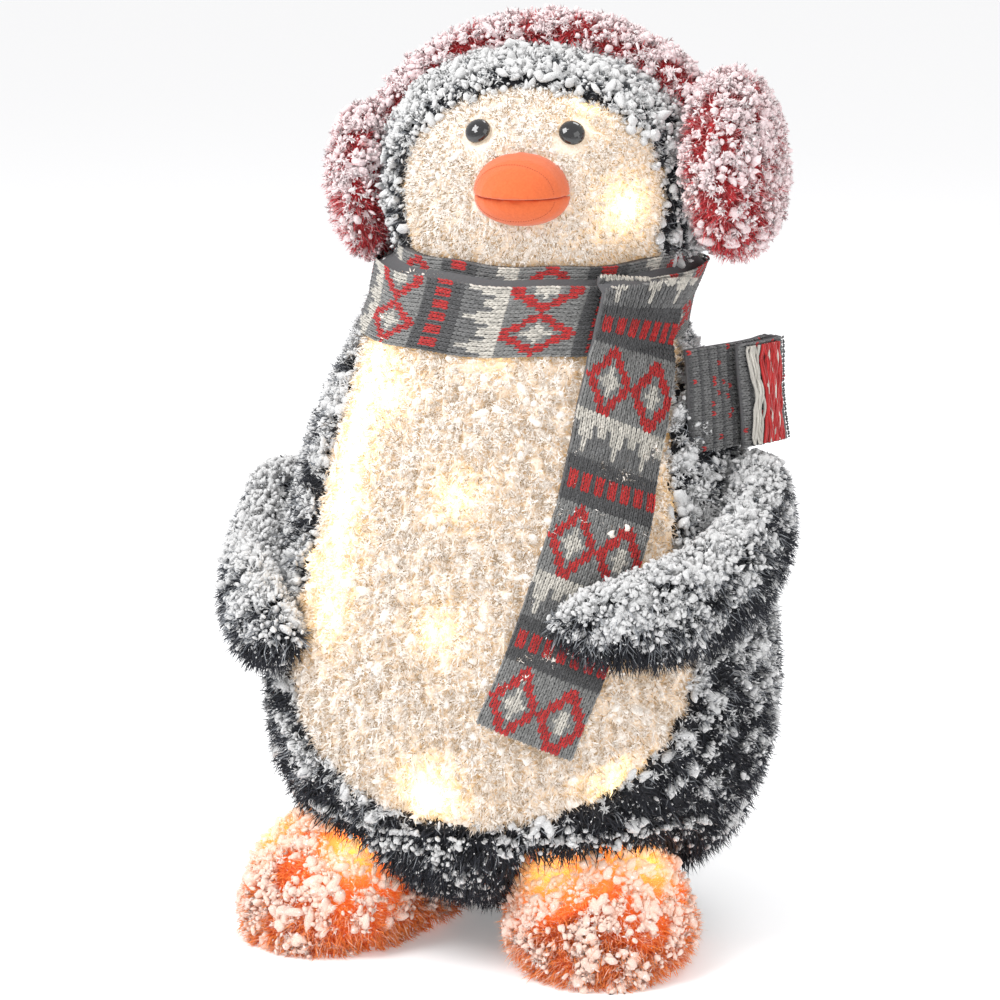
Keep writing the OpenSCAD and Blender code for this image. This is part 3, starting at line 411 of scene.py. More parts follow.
def fibre_mesh(name, points, normals, along, length, width, droop, tone, glow=None, soft=0.0):
    """Narrow bent blades of pile: each two triangles of stem and one of tip. Soft blades lie open to
    the outside and are lit partly as the cloth under them is."""
    count = len(points)
    reach = (length * draws.uniform(0.55, 1.15, count))[:, None]
    twist = draws.normal(size=(count, 3))
    half = unit(np.cross(along, normals + 0.35 * twist if soft else twist)) * width / 2
    hang = np.array([0, 0, -1.0]) * droop * reach
    middle = points + along * reach * 0.55 + hang * 0.25
    tip = points + along * reach + hang
    curl = unit(np.cross(along, draws.normal(size=(count, 3)))) * reach * 0.25
    blade = np.stack([points - half, points + half, middle + half * 0.8, middle - half * 0.8, tip + curl], 1)
    blade[..., 2] = np.maximum(blade[..., 2], floor_clear)
    pattern = np.array([[0, 1, 2], [0, 2, 3], [3, 2, 4]])
    triangles = (np.arange(count)[:, None, None] * 5 + pattern).reshape(-1, 3)
    kept = {"tone": np.repeat(tone, 5), "reach": np.tile([0, 0, 0.55, 0.55, 1.0], count)}
    if glow is not None:
        kept["glow"] = glow(blade.reshape(-1, 3))
    if not soft:
        return mesh_of(name, blade.reshape(-1, 3), triangles, **kept)
    own = unit(np.cross(half, along))
    inward = (own * normals).sum(1) < 0
    own[inward] *= -1
    triangles.reshape(count, 3, 3)[inward] = triangles.reshape(count, 3, 3)[inward][:, :, ::-1]
    facing = np.repeat(unit(normals * soft + own * (1 - soft)), 5, axis=0)
    return mesh_of(name, blade.reshape(-1, 3), triangles, facing, **kept)


def ball_shapes(finer, kinds, lump):
    """Unit balls with random lumps, as arrays of points, and their shared triangles."""
    ball = bmesh.new()
    bmesh.ops.create_icosphere(ball, subdivisions=finer, radius=1)
    points = np.array([v.co for v in ball.verts])
    triangles = np.array([[v.index for v in f.verts] for f in ball.faces])
    ball.free()
    shapes = [
        points * (1 + lump * draws.uniform(-1, 1, (len(points), 1))) for turn in range(kinds)
    ]
    return np.array(shapes), triangles


clump_shapes = ball_shapes(2, 16, 0.20)
crumb_shapes = ball_shapes(1, 16, 0.22)


def turns(count):
    """Random rotations, one for each piece of flock."""
    q = unit(draws.normal(size=(count, 4)))
    w, x, y, z = q.T
    return np.stack([
        np.stack([1 - 2 * (y * y + z * z), 2 * (x * y - z * w), 2 * (x * z + y * w)], 1),
        np.stack([2 * (x * y + z * w), 1 - 2 * (x * x + z * z), 2 * (y * z - x * w)], 1),
        np.stack([2 * (x * z - y * w), 2 * (y * z + x * w), 1 - 2 * (x * x + y * y)], 1),
    ], 1)


def flock_mesh(name, shapes, points, radius, glow=None):
    """Lumps of flock of given radii at given points, each turned and stretched its own way."""
    kinds, triangles = shapes
    count = len(points)
    stretch = draws.uniform(0.6, 1.2, (count, 1, 3)) * radius[:, None, None]
    stretch[:, :, 2] *= draws.uniform(1.1, 2.2, (count, 1))
    lumps = kinds[draws.integers(0, len(kinds), count)] * stretch
    lumps = np.einsum("nij,nkj->nki", turns(count), lumps) + points[:, None, :]
    lumps[..., 2] = np.maximum(lumps[..., 2], floor_clear)
    corners = lumps.shape[1]
    faces = (np.arange(count)[:, None, None] * corners + triangles).reshape(-1, 3)
    kept = {"tone": np.repeat(draws.random(count), corners)}
    if glow is not None:
        kept["glow"] = glow(lumps.reshape(-1, 3))
    return mesh_of(name, lumps.reshape(-1, 3), faces, **kept)


def frost_group():
    """Pile colour from root to tip, with frost on some fibres and rare bright specks of flake, glossy and
    white; their white colour is partly a painted glint.
    """
    group = bpy.data.node_groups.new("frosted_pile", "ShaderNodeTree")
    given, taken = group_sockets(
        group,
        [("Root", "Color"), ("Tip", "Color"), ("Frost", "Color"), ("Reach", "Float"), ("Tone", "Float"),
         ("Frosted", "Float"), ("Grain", "Float")],
        [("Color", "Color"), ("Roughness", "Float"), ("Height", "Float")],
    )
    get = given.outputs
    where = add_node(group, "TexCoord").outputs["Object"]
    noise = add_node(group, "TexNoise", {"Vector": where, "Scale": get["Grain"]}, {"Detail": 4}).outputs[0]
    stem = add_node(group, "Mix", {"Factor": get["Reach"], 6: get["Root"], 7: get["Tip"]}, data_type="RGBA")
    # Fibres whose tone is under the frosted share carry frost, thicker towards the tip
    below = add_node(group, "Math", {0: get["Tone"], 1: get["Frosted"]}, operation="LESS_THAN")
    outer = add_node(group, "Math", {0: below.outputs[0], 1: get["Reach"]}, operation="MULTIPLY")
    frosted = add_node(
        group, "Mix", {"Factor": outer.outputs[0], 6: stem.outputs[2], 7: get["Frost"]}, data_type="RGBA"
    )
    uneven = add_node(
        group, "MapRange", {"Value": noise},
        {"From Min": 0.3, "From Max": 0.7, "To Min": 0.78, "To Max": 1.12}
    )
    shade = add_node(
        group, "VectorMath", {0: frosted.outputs[2], "Scale": uneven.outputs[0]}, operation="SCALE"
    )
    # Rare specks of flake turn glossy and white: the gloss is real, and the white colour is partly a painted
    # glint.
    fleck = add_node(group, "TexVoronoi", {"Vector": where}, {"Scale": 700})
    parts = add_node(group, "SeparateColor", {0: fleck.outputs["Color"]})
    rare = add_node(group, "Math", {0: parts.outputs[0]}, {1: 0.975}, operation="GREATER_THAN").outputs[0]
    glitter_and_painted_glint = add_node(
        group, "Mix", {"Factor": rare, 6: shade.outputs[0]}, {7: (1, 1, 1, 1)}, data_type="RGBA"
    )
    gloss = add_node(group, "MapRange", {"Value": rare}, {"To Min": 0.85, "To Max": 0.15})
    hand_out(group, taken, Color=glitter_and_painted_glint.outputs[2], Roughness=gloss.outputs[0], Height=noise)
    return group


def glow_group():
    """The colour that lamp light gives the pile: dim and warm far off, near white over a lamp."""
    group = bpy.data.node_groups.new("lamp_glow", "ShaderNodeTree")
    given, taken = group_sockets(
        group, [("Glow", "Float"), ("Far", "Color"), ("Near", "Color")], [("Color", "Color")]
    )
    get = given.outputs
    colour = add_node(group, "Mix", {"Factor": get["Glow"], 6: get["Far"], 7: get["Near"]}, data_type="RGBA")
    scale = add_node(group, "VectorMath", {0: colour.outputs[2], "Scale": get["Glow"]}, operation="SCALE")
    hand_out(group, taken, Color=scale.outputs[0])
    return group


def kept_value(tree, name):
    """A value kept at the points of the mesh."""
    return add_node(tree, "Attribute", attribute_name=name).outputs["Fac"]


frosted_pile = frost_group()
lamp_glow = glow_group()


def pile_finish(
    name, root, tip, frost, frosted, grain=900, far=None, near=None, strength=1.0, sheen=0.3
):
    """Pile or flock: frosted colour from root to tip, and lamp light where a piece carries it."""
    paint = bpy.data.materials.new(name)
    paint.use_nodes = True
    join = paint.node_tree.links.new
    shader = paint.node_tree.nodes["Principled BSDF"]
    shader.inputs["Sheen Weight"].default_value = sheen
    frosting = place_group(paint, frosted_pile, Root=root, Tip=tip, Frost=frost, Frosted=frosted, Grain=grain)
    for key, socket in (("tone", "Tone"), ("reach", "Reach")):
        join(kept_value(paint.node_tree, key), frosting.inputs[socket])
    join(frosting.outputs["Color"], shader.inputs["Base Color"])
    join(frosting.outputs["Roughness"], shader.inputs["Roughness"])
    bump_into(paint, frosting.outputs["Height"], 0.5, 0.0006)
    if far:
        lit = place_group(paint, lamp_glow, Far=far, Near=near)
        join(kept_value(paint.node_tree, "glow"), lit.inputs["Glow"])
        join(lit.outputs["Color"], shader.inputs["Emission Color"])
        shader.inputs["Emission Strength"].default_value = strength
    return paint


def keep_glow(piece, glow):
    """Keep lamp light at the points of a backing too."""
    layer = piece.data.attributes.new("glow", "FLOAT", "POINT")
    layer.data.foreach_set("value", glow(read(piece.data.vertices, "co", 3)).astype(np.float32))


def add_pile(base, skin, paint, count, length, width=0.0009, lean=1.1, droop=0.2,
             weight=None, glow=None, frost_at=None, soft=0.0):
    """Sew fibres over a skin (its surface, body and slot), in pieces small enough to keep whole."""
    surface, body, slot = skin
    most = 60000
    for part in range(math.ceil(count / most)):
        points, normals = scatter(surface, min(most, count - part * most), weight)
        tone = draws.random(len(points))
        if frost_at is not None:
            tone = np.clip(tone + 0.5 - frost_at(points, normals), 0, 1)
        name = f"{base}_{part + 1}"
        sideways = unit(np.cross(normals, draws.normal(size=(len(points), 3))))
        along = unit(normals + lean * sideways * draws.random((len(points), 1)))
        mesh = fibre_mesh(name, points, normals, along, length, width, droop, tone, glow, soft)
        shaped(name, mesh, paint, body)


def add_flock(base, skin, shapes, paint, count, radius, out, weight=None, glow=None):
    """Stick flock on the pile: lumps of a range of sizes, standing a little off the backing."""
    surface, body, slot = skin
    most = 2400 if shapes is clump_shapes else 9500
    for part in range(math.ceil(count / most)):
        points, normals = scatter(surface, min(most, count - part * most), weight)
        size = draws.uniform(*radius, len(points))
        points = points + normals * draws.uniform(*out, (len(points), 1))
        name = f"{base}_{part + 1}"
        shaped(name, flock_mesh(name, shapes, points, size, glow), paint, body)


def add_tufts(base, skin, paint, count, each, length, out, weight=None, glow=None):
    """Stick little brushes of flocked fibre on the pile, each spreading from one point."""
    surface, body, slot = skin
    most = 60000 // each
    for part in range(math.ceil(count / most)):
        points, normals = scatter(surface, min(most, count - part * most), weight)
        points = np.repeat(points + normals * draws.uniform(*out, (len(points), 1)), each, axis=0)
        normals = np.repeat(normals, each, axis=0)
        spread = unit(normals * 0.7 + unit(draws.normal(size=(len(points), 3))))
        name = f"{base}_{part + 1}"
        tone = np.repeat(draws.random(len(points) // each), each)
        mesh = fibre_mesh(name, points, normals, spread, length, 0.0012, 0.0, tone, glow, 0.7)
        shaped(name, mesh, paint, body)


def snow_on(points, normals):
    """Where sprayed flock settles on the dark covers: on faces that look up or out, in patches."""
    up = normals[:, 2]
    patch = noise_at(points, 0.028, 21)
    broad = noise_at(points, 0.09, 22)
    return np.clip(0.36 + 0.85 * up + 0.40 * patch + 0.25 * broad, 0.0, 1.0)


def snow_sparse(points, normals):
    return snow_on(points, normals) ** 2 + 0.01


# The black pile lightens to a blue tinge towards its tips: a painted highlight of the tinsel's shine.
black = (0.010, 0.011, 0.016)
black_tip_painted_highlight = (0.022, 0.025, 0.036)
snow_white = (0.68, 0.68, 0.68)
black_pile = pile_finish("black_pile", black, black_tip_painted_highlight, (0.42, 0.44, 0.47), 0.5, sheen=0.15)
black_backing = pile_finish("black_backing", black, black, black, 0.0, sheen=0.1)
snow_flock = pile_finish("snow_flock", snow_white, (0.66, 0.66, 0.66), (0.74, 0.74, 0.74), 0.5, grain=1200)

back = backing("back_cover_cloth", "back_cover", 0.005, black_backing, "root")
base = backing("base_cover_cloth", "base_cover", 0.005, black_backing, "root")
body_middle = (0.003, 0.0025, 0.23)
back_skin = (outside(back, body_middle), "root", "black_pile")
base_skin = (outside(base, body_middle), "root", "black_pile")
add_pile("back_cover_pile", back_skin, black_pile, 46000, 0.0125, 0.0012, frost_at=snow_on)
add_pile("base_cover_pile", base_skin, black_pile, 17000, 0.0135, 0.0012, frost_at=snow_on, droop=0.35)
add_flock(
    "back_cover_clump", back_skin, clump_shapes, snow_flock, 5200, (0.0018, 0.0040), (0.001, 0.0065),
    snow_sparse
)
add_flock(
    "back_cover_crumb", back_skin, crumb_shapes, snow_flock, 8000, (0.0008, 0.0018), (0.003, 0.009),
    snow_sparse
)
add_tufts("back_cover_tuft", back_skin, snow_flock, 6500, 14, 0.0050, (0.003, 0.007), snow_sparse)
add_flock(
    "base_cover_crumb", base_skin, crumb_shapes, snow_flock, 2600, (0.0008, 0.0024), (0.003, 0.010),
    snow_sparse
)

# ---------------------------------------------------------------- belly panel
# One piece of cream pile cloth, shorter and denser than the black, sewn into the front of the back
# cover. Fine flock mats its tips together, and the lamps behind it shine through in warm spots.


def cream_light(surface):
    """Warm light on cream pile: a faint even glow, and an uneven spot over each lamp."""
    light = light_through(surface, 0.0075, 0.021, 0.36)

    def patchy(points):
        return 0.12 + light(points) * (0.8 + 0.6 * noise_at(points, 0.007, 33))

    return patchy


def cream_density(points, normals):
    return 0.35 + 0.65 * (0.5 + 0.5 * noise_at(points, 0.016, 31))


cream = (0.82, 0.76, 0.69)
cream_tip = (0.88, 0.85, 0.82)
warm_far = (0.90, 0.50, 0.16)
warm_near = (1.0, 0.72, 0.34)
cream_pile = pile_finish(
    "cream_pile", cream, cream_tip, (0.90, 0.89, 0.88), 0.35, 1100, warm_far, warm_near, 1.1
)
cream_backing = pile_finish("cream_backing", cream, cream, cream, 0.0, 900, warm_far, warm_near, 2.0)
cream_flock = pile_finish(
    "cream_flock", (0.86, 0.83, 0.79), (0.88, 0.86, 0.83), (0.92, 0.92, 0.92), 0.5, 1200, warm_far,
    warm_near, 1.0
)
belly = backing("belly_panel_cloth", "belly_panel", 0.004, cream_backing, "root", 0.0032, 0.012)
belly_skin = (outside(belly, body_middle), "root", "cream_pile")
belly_light = cream_light(belly_skin[0])
keep_glow(belly, belly_light)
add_pile(
    "belly_panel_pile", belly_skin, cream_pile, 42000, 0.0060, 0.0012, 2.2, 0.25, cream_density,
    belly_light, soft=0.75
)
add_flock(
    "belly_panel_clump", belly_skin, clump_shapes, cream_flock, 1500, (0.0014, 0.0034), (-0.0015, 0.0008),
    cream_density, belly_light
)
add_tufts(
    "belly_panel_tuft", belly_skin, cream_flock, 4600, 16, 0.0050, (-0.001, 0.0025), cream_density,
    belly_light
)

# ---------------------------------------------------------------- hood
# The hood is the same black pile cloth as the back, cut to go round the face. It is the highest
# dark surface, so the flock lies thickest here and leaves only small gaps.


def hood_snow(points, normals):
    return np.clip(0.25 + snow_on(points, normals), 0, 1)


hood = backing("hood_cover_cloth", "hood_cover", 0.004, black_backing, "root", inset=-0.003)
hood_low, hood_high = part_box("hood_cover")
hood_middle = tuple((hood_low + hood_high) / 2)
hood_skin = (outside(hood, hood_middle), "root", "black_pile")
add_pile("hood_cover_pile", hood_skin, black_pile, 19000, 0.0085, frost_at=hood_snow)
add_flock(
    "hood_cover_clump", hood_skin, clump_shapes, snow_flock, 1700, (0.0015, 0.0036), (0.002, 0.006),
    hood_snow
)
add_flock(
    "hood_cover_crumb", hood_skin, crumb_shapes, snow_flock, 4500, (0.0007, 0.0020), (0.002, 0.008),
    hood_snow
)
add_tufts("hood_cover_tuft", hood_skin, snow_flock, 2200, 14, 0.0038, (0.002, 0.006), hood_snow)

# ---------------------------------------------------------------- face panel
# The face is cream pile cloth like the belly, sewn into the hood's opening, with the eyes' stems
# and the beak's stitches passing through it.
face = backing("face_panel_cloth", "face_panel", 0.004, cream_backing, "root", 0.001, 0.016)
face_skin = (outside(face, hood_middle), "root", "cream_pile")
face_light = cream_light(face_skin[0])
keep_glow(face, face_light)
eye_clear = 0.0115
eye_points = [np.array((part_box(name)[0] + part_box(name)[1]) / 2) for name in ("left_eye", "right_eye")]


def face_density(points, normals):
    """No pile right under the eyes, which press it down."""
    share = cream_density(points, normals)
    for eye_at in eye_points:
        share = share * (np.hypot(points[:, 0] - eye_at[0], points[:, 2] - eye_at[2]) > eye_clear)
    return share


add_pile(
    "face_panel_pile", face_skin, cream_pile, 17000, 0.0050, 0.0011, 2.1, 0.2, face_density, face_light,
    soft=0.75
)
add_flock(
    "face_panel_clump", face_skin, clump_shapes, cream_flock, 500, (0.0012, 0.0026), (-0.001, 0.001),
    face_density, face_light
)
add_tufts(
    "face_panel_tuft", face_skin, cream_flock, 1900, 14, 0.0038, (-0.0005, 0.0015), face_density, face_light
)

# ---------------------------------------------------------------- eyes
# Each eye is one moulding of glossy black plastic: a dome with a stem that a washer holds from
# behind the face.
eye_gloss = hard_finish(
    "eye_gloss", (0.006, 0.006, 0.007), (0.010, 0.010, 0.011), 180, 0.05, 0.1, coat=1.0, bump=0.02
)
finish_nodes(eye_gloss, "left_eye", "right_eye")

# ---------------------------------------------------------------- beak
# Two lips of orange felt, each sewn from two pieces, turned and filled, then sewn to the face along
# the mouth. A seam runs round each lip a little inside its edge.


def puffed(node, name, voxel, paint, body, cap):
    """A padded piece: the node's mesh evened out, then blown up a little as its filling does."""
    mesh = evened(node, voxel, 2)
    piece = shaped(name, mesh, paint, body)
    start = read(mesh.vertices, "co", 3).astype(float)
    cloth = piece.modifiers.new("filling", "CLOTH")
    cloth.settings.quality = 4
    cloth.settings.use_pressure = True
    cloth.settings.uniform_pressure_force = 4
    cloth.settings.effector_weights.gravity = 0
    cloth.point_cache.frame_start = 1
    cloth.point_cache.frame_end = 20
    for turn in range(1, 21):
        bpy.context.scene.frame_set(turn)
    seen = piece.evaluated_get(bpy.context.evaluated_depsgraph_get())
    blown = read(seen.data.vertices, "co", 3).astype(float)
    piece.modifiers.remove(cloth)
    bpy.context.scene.frame_set(1)
    move = blown - start
    far = np.linalg.norm(move, axis=1, keepdims=True)
    start += move * np.minimum(1, cap / np.maximum(far, 1e-9))
    mesh.vertices.foreach_set("co", start.astype(np.float32).ravel())
    mesh.update()
    finer = piece.modifiers.new("finer", "SUBSURF")
    finer.levels = finer.render_levels = 1
    smooth = bpy.data.meshes.new_from_object(piece.evaluated_get(bpy.context.evaluated_depsgraph_get()))
    piece.modifiers.clear()
    smooth.name = name
    piece.data = smooth
    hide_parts(node)
    return piece


def spindle_mesh(name, starts, ends, outs, radius, **values):
    """Short plump strands from point to point: the legs of knitted stitches, or sewing stitches."""
    along = unit(ends - starts)
    side = unit(np.cross(along, outs))
    out = np.cross(side, along)
    length = np.linalg.norm(ends - starts, axis=1, keepdims=True)
    rings = []
    for share in (0.3, 0.7):
        middle = starts + (ends - starts) * share + out * length * 0.06
        for a in (0, 1.571, 3.142, 4.712):
            rings.append(middle + radius * (side * math.cos(a) + out * math.sin(a)))
    points = np.stack([starts, *rings, ends], 1)
    pattern = []
    for k in range(4):
        n = (k + 1) % 4
        pattern += [[0, 1 + n, 1 + k], [1 + k, 1 + n, 5 + n], [1 + k, 5 + n, 5 + k], [5 + k, 5 + n, 9]]
    faces = (np.arange(len(starts))[:, None, None] * 10 + np.array(pattern)).reshape(-1, 3)
    return mesh_of(name, points.reshape(-1, 3), faces, **{key: np.repeat(v, 10) for key, v in values.items()})


def felt_finish(name, colour, second):
    """Pressed felt: matt, slightly furry, with a fine uneven nap."""
    paint = hard_finish(name, colour, second, 700, 0.8, 0.95, bump=0.6)
    paint.node_tree.nodes["Principled BSDF"].inputs["Sheen Weight"].default_value = 0.25
    return paint


orange_felt = felt_finish("orange_felt", (0.80, 0.165, 0.040), (0.62, 0.105, 0.026))
orange_thread = hard_finish("orange_thread", (0.42, 0.07, 0.02), (0.50, 0.09, 0.03), 900, 0.6, 0.8)
upper_lip = puffed("upper_beak", "upper_lip", 0.0016, orange_felt, "root", 0.0012)
lower_lip = puffed("lower_beak", "lower_lip", 0.0016, orange_felt, "root", 0.0012)


def lip_seam(name, lip, node, way, inset):
    """Sewing stitches round a lip, a little inside its edge."""
    low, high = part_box(node)
    wide, tall = (high.x - low.x) / 2 * inset, (high.z - low.z) * (inset - 0.06)
    root = low.z if way > 0 else high.z
    tree = BVHTree.FromObject(lip, bpy.context.evaluated_depsgraph_get())
    found = []
    for turn in np.linspace(math.radians(6), math.radians(174), 45):
        x = (low.x + high.x) / 2 + wide * math.cos(turn)
        z = root + way * tall * math.sin(turn) ** 0.9
        hit, normal, face, far = tree.ray_cast(Vector((x, low.y - 0.05, z)), Vector((0, 1, 0)))
        if hit:
            found.append((tuple(hit), tuple(normal)))
    places = np.array([f[0] for f in found])
    outs = np.array([f[1] for f in found])
    starts, ends = places[:-1], places[:-1] + (places[1:] - places[:-1]) * 0.72
    shaped(name, spindle_mesh(name, starts, ends, outs[:-1], 0.00032), orange_thread, "root")


lip_seam("upper_lip_seam", upper_lip, "upper_beak", 1, 0.84)
lip_seam("lower_lip_seam", lower_lip, "lower_beak", -1, 0.82)

# ---------------------------------------------------------------- earmuffs and headband
# Two round padded earmuffs and a padded band in long red pile, over a steel strip that runs through
# the band. The same flock as on the hood sticks to them, tinted pink by the red under it.


def muff_snow(points, normals):
    patch = noise_at(points, 0.022, 41)
    return np.clip(0.55 + 0.4 * normals[:, 2] + 0.4 * patch, 0, 1)


def muff_snow_sparse(points, normals):
    return muff_snow(points, normals) ** 1.5 + 0.03


red_pile = pile_finish(
    "red_pile", (0.52, 0.020, 0.026), (0.72, 0.070, 0.085), (0.88, 0.62, 0.62), 0.5, sheen=0.3
)
red = (0.55, 0.022, 0.028)
red_backing = pile_finish("red_backing", red, red, red, 0.0)
pink_flock = pile_finish("pink_flock", (0.86, 0.70, 0.71), (0.88, 0.77, 0.77), (0.90, 0.83, 0.83), 0.6, 1200)
for node, hairs, clumps, crumbs in (
    ("left_earmuff", 9000, 420, 3600), ("right_earmuff", 13000, 620, 5200), ("headband", 9000, 380, 3600),
):
    muff = backing(f"{node}_cloth", node, 0.003, red_backing, "root", 0.0015, 0.014, 0.004)
    muff_skin = (outside(muff), "root", "red_pile")
    add_pile(f"{node}_pile", muff_skin, red_pile, hairs, 0.0095, 0.0009, 1.0, 0.15, None, None, muff_snow)
    add_flock(
        f"{node}_clump", muff_skin, clump_shapes, pink_flock, clumps, (0.0014, 0.0032), (0.003, 0.0075),
        muff_snow_sparse
    )
    add_flock(
        f"{node}_crumb", muff_skin, crumb_shapes, pink_flock, crumbs // 2, (0.0006, 0.0017), (0.004, 0.010),
        muff_snow_sparse
    )
    add_tufts(
        f"{node}_tuft", muff_skin, pink_flock, crumbs // 4, 14, 0.0042, (0.003, 0.008), muff_snow_sparse
    )

# ---------------------------------------------------------------- scarf
# One long strip of machine knit in greys, red and cream, about 1.1 m long. It goes round the neck,
# its long end hangs down the front under the right flipper, and its short end is folded back over
# the right shoulder so that the loose yarns of its reverse show.
axis = np.array([0.003, 0.0025, 0])
head_off = np.array([0.014, 0.008])
neck_low, neck_high = 0.403, 0.458
wrap_thick = 0.008
body_shares = [0, 0.03, 0.07, 0.12, 0.2, 0.31, 0.42, 0.53, 0.66, 0.78, 0.9, 0.95, 1]
body_widths = [0.24, 0.53, 0.74, 0.86, 0.96, 1, 0.985, 0.94, 0.86, 0.76, 0.61, 0.555, 0.53]
hood_shares = [0, 0.11, 0.25, 0.4, 0.54, 0.69]
hood_widths = [0.87, 0.93, 0.98, 1, 0.99, 0.925]


body_half, body_foot, body_tall = 0.166, 0.030, 0.415
hood_half, hood_foot, hood_tall = 0.099, 0.447, 0.135


def body_radius(z):
    return body_half * np.interp((z - body_foot) / body_tall, body_shares, body_widths)


def hood_radius(z):
    return hood_half * np.interp((z - hood_foot) / hood_tall, hood_shares, hood_widths)


def wrap_lean(z):
    return (z - neck_low) / (neck_high - neck_low)


def wrap_inside(z):
    """Inner radius of the neck wrap, which leans from the body's axis to the hood's."""
    lean = math.hypot(*head_off)
    body_side = body_radius(z) + lean * wrap_lean(z)
    hood_side = hood_radius(z) + lean * (1 - wrap_lean(z))
    return 0.0009 + np.where(z <= hood_foot, body_side, hood_side)


def on_neck(along, across, out):
    """A point of the neck wrap: metres round it, share across it, and height off its inner face."""
    turn = along / wrap_radius
    z = neck_low + (across + 0.5) * (neck_high - neck_low)
    far = wrap_inside(z) + out + 0.0009 * np.sin(3 * turn + 5 * across) * np.sin(7 * turn)
    lean = wrap_lean(z)
    return axis + np.stack([
        head_off[0] * lean + far * np.cos(turn),
        head_off[1] * lean + far * np.sin(turn),
        z + 0.0016 * np.sin(2 * turn + 1) + 0.0008 * np.sin(9 * turn),
    ], -1)


tail_turns = np.radians([61, 59, 55, 46, 41, 37, 29, 23, 17])
tail_shares = np.array([1.007, 0.952, 0.892, 0.793, 0.725, 0.658, 0.537, 0.429, 0.33])
tail_heights = body_foot + body_tall * tail_shares
scarf_wide = 0.066


def tail_station(i):
    i = np.clip(i, 0, 8)
    return np.interp(i, range(9), tail_turns), np.interp(i, range(9), tail_heights)


def tail_lift(z):
    """How far the knit lies off the body: over the wrap at the neck, on the belly below it."""
    high = np.maximum(z, neck_low)
    on_wrap = wrap_inside(high) + wrap_thick + 0.9 * head_off[0] * wrap_lean(high) + 0.001 - body_radius(high)
    t = np.clip((z - neck_low + 0.045) / 0.045, 0, 1)
    return 0.0012 + (on_wrap - 0.0012) * t * t * (3 - 2 * t)


def tail_at(i, across, out):
    turn, z = tail_station(i)
    turn_a, z_a = tail_station(i - 0.5)
    turn_b, z_b = tail_station(i + 0.5)
    radius = body_radius(z)
    run, drop = (turn_b - turn_a) * radius, z_b - z_a
    length = np.hypot(run, drop)
    turn = turn - across * scarf_wide * drop / length / (radius + 0.010)
    z = z + across * scarf_wide * run / length
    far = body_radius(z) + tail_lift(z) + out
    return axis + np.stack([far * np.sin(turn), -far * np.cos(turn), z], -1)


stations = np.linspace(0, 8, 401)
tail_line = tail_at(stations, 0 * stations, 0 * stations)
tail_run = np.concatenate([[0], np.cumsum(np.linalg.norm(np.diff(tail_line, axis=0), axis=1))])
tail_long = tail_run[-1]


def on_tail(along, across, out):
    """A point of the hanging end: metres down it, share across it, and height off its back."""
    at_end = np.clip((along - tail_long + 0.03) / 0.03, 0, 1)
    curl = 0.0010 * np.sin(along * 70 + across * 4) + 0.004 * at_end ** 2
    return tail_at(np.interp(along, tail_run, stations), across, out + curl)


fold_middle = 0.367
fold_line = body_radius(fold_middle) * np.array([
    (1.04, -0.36), (1.14, -0.2), (1.23, -0.025), (1.3, 0.13), (1.33, 0.25), (1.415, 0.23), (1.38, 0.11),
    (1.325, -0.01), (1.26, -0.11),
])
fold_run = np.concatenate([[0], np.cumsum(np.linalg.norm(np.diff(fold_line, axis=0), axis=1))])
fold_long = fold_run[-1]


def on_fold(along, across, out):
    """A point of the folded end: metres along it, share across it, and height off its inner face."""
    x, y = (np.interp(along, fold_run, fold_line[:, k]) for k in (0, 1))
    x_a, y_a = (np.interp(along - 0.004, fold_run, fold_line[:, k]) for k in (0, 1))
    x_b, y_b = (np.interp(along + 0.004, fold_run, fold_line[:, k]) for k in (0, 1))
    length = np.hypot(x_b - x_a, y_b - y_a)
    off = out - 0.0025 + 0.0008 * np.sin(along * 90 + 6 * across)
    return axis + np.stack([
        x + (y_b - y_a) / length * off - across * scarf_wide * 0.101,
        y - (x_b - x_a) / length * off + across * scarf_wide * 0.097,
        fold_middle + across * scarf_wide,
    ], -1)


def strip_mesh(places, long, closed, thick, steps, cross_steps=8):
    """A strip of cloth with both faces and its edges, from a rule that places its points."""
    along = np.linspace(0, long, steps + 1)[:-1] if closed else np.linspace(0, long, steps + 1)
    across = np.linspace(-0.5, 0.5, cross_steps + 1)
    ring_across = np.concatenate([across, across[::-1]])
    ring_out = np.concatenate([np.full(len(across), thick[0]), np.full(len(across), thick[1])])
    rows, width = len(along), len(ring_across)
    grid = places(np.repeat(along, width), np.tile(ring_across, rows), np.tile(ring_out, rows))
    faces = []
    for i in range(rows if closed else rows - 1):
        k = (i + 1) % rows
        for j in range(width):
            n = (j + 1) % width
            a, b, c, d = i * width + j, i * width + n, k * width + n, k * width + j
            faces += [[a, b, c], [a, c, d]]
    if not closed:
        for i in (0, rows - 1):
            for j in range(cross_steps):
                a, b = i * width + j, i * width + j + 1
                c, d = i * width + width - 2 - j, i * width + width - 1 - j
                faces += [[a, b, c], [a, c, d]] if i else [[a, c, b], [a, d, c]]
    return grid, np.array(faces)


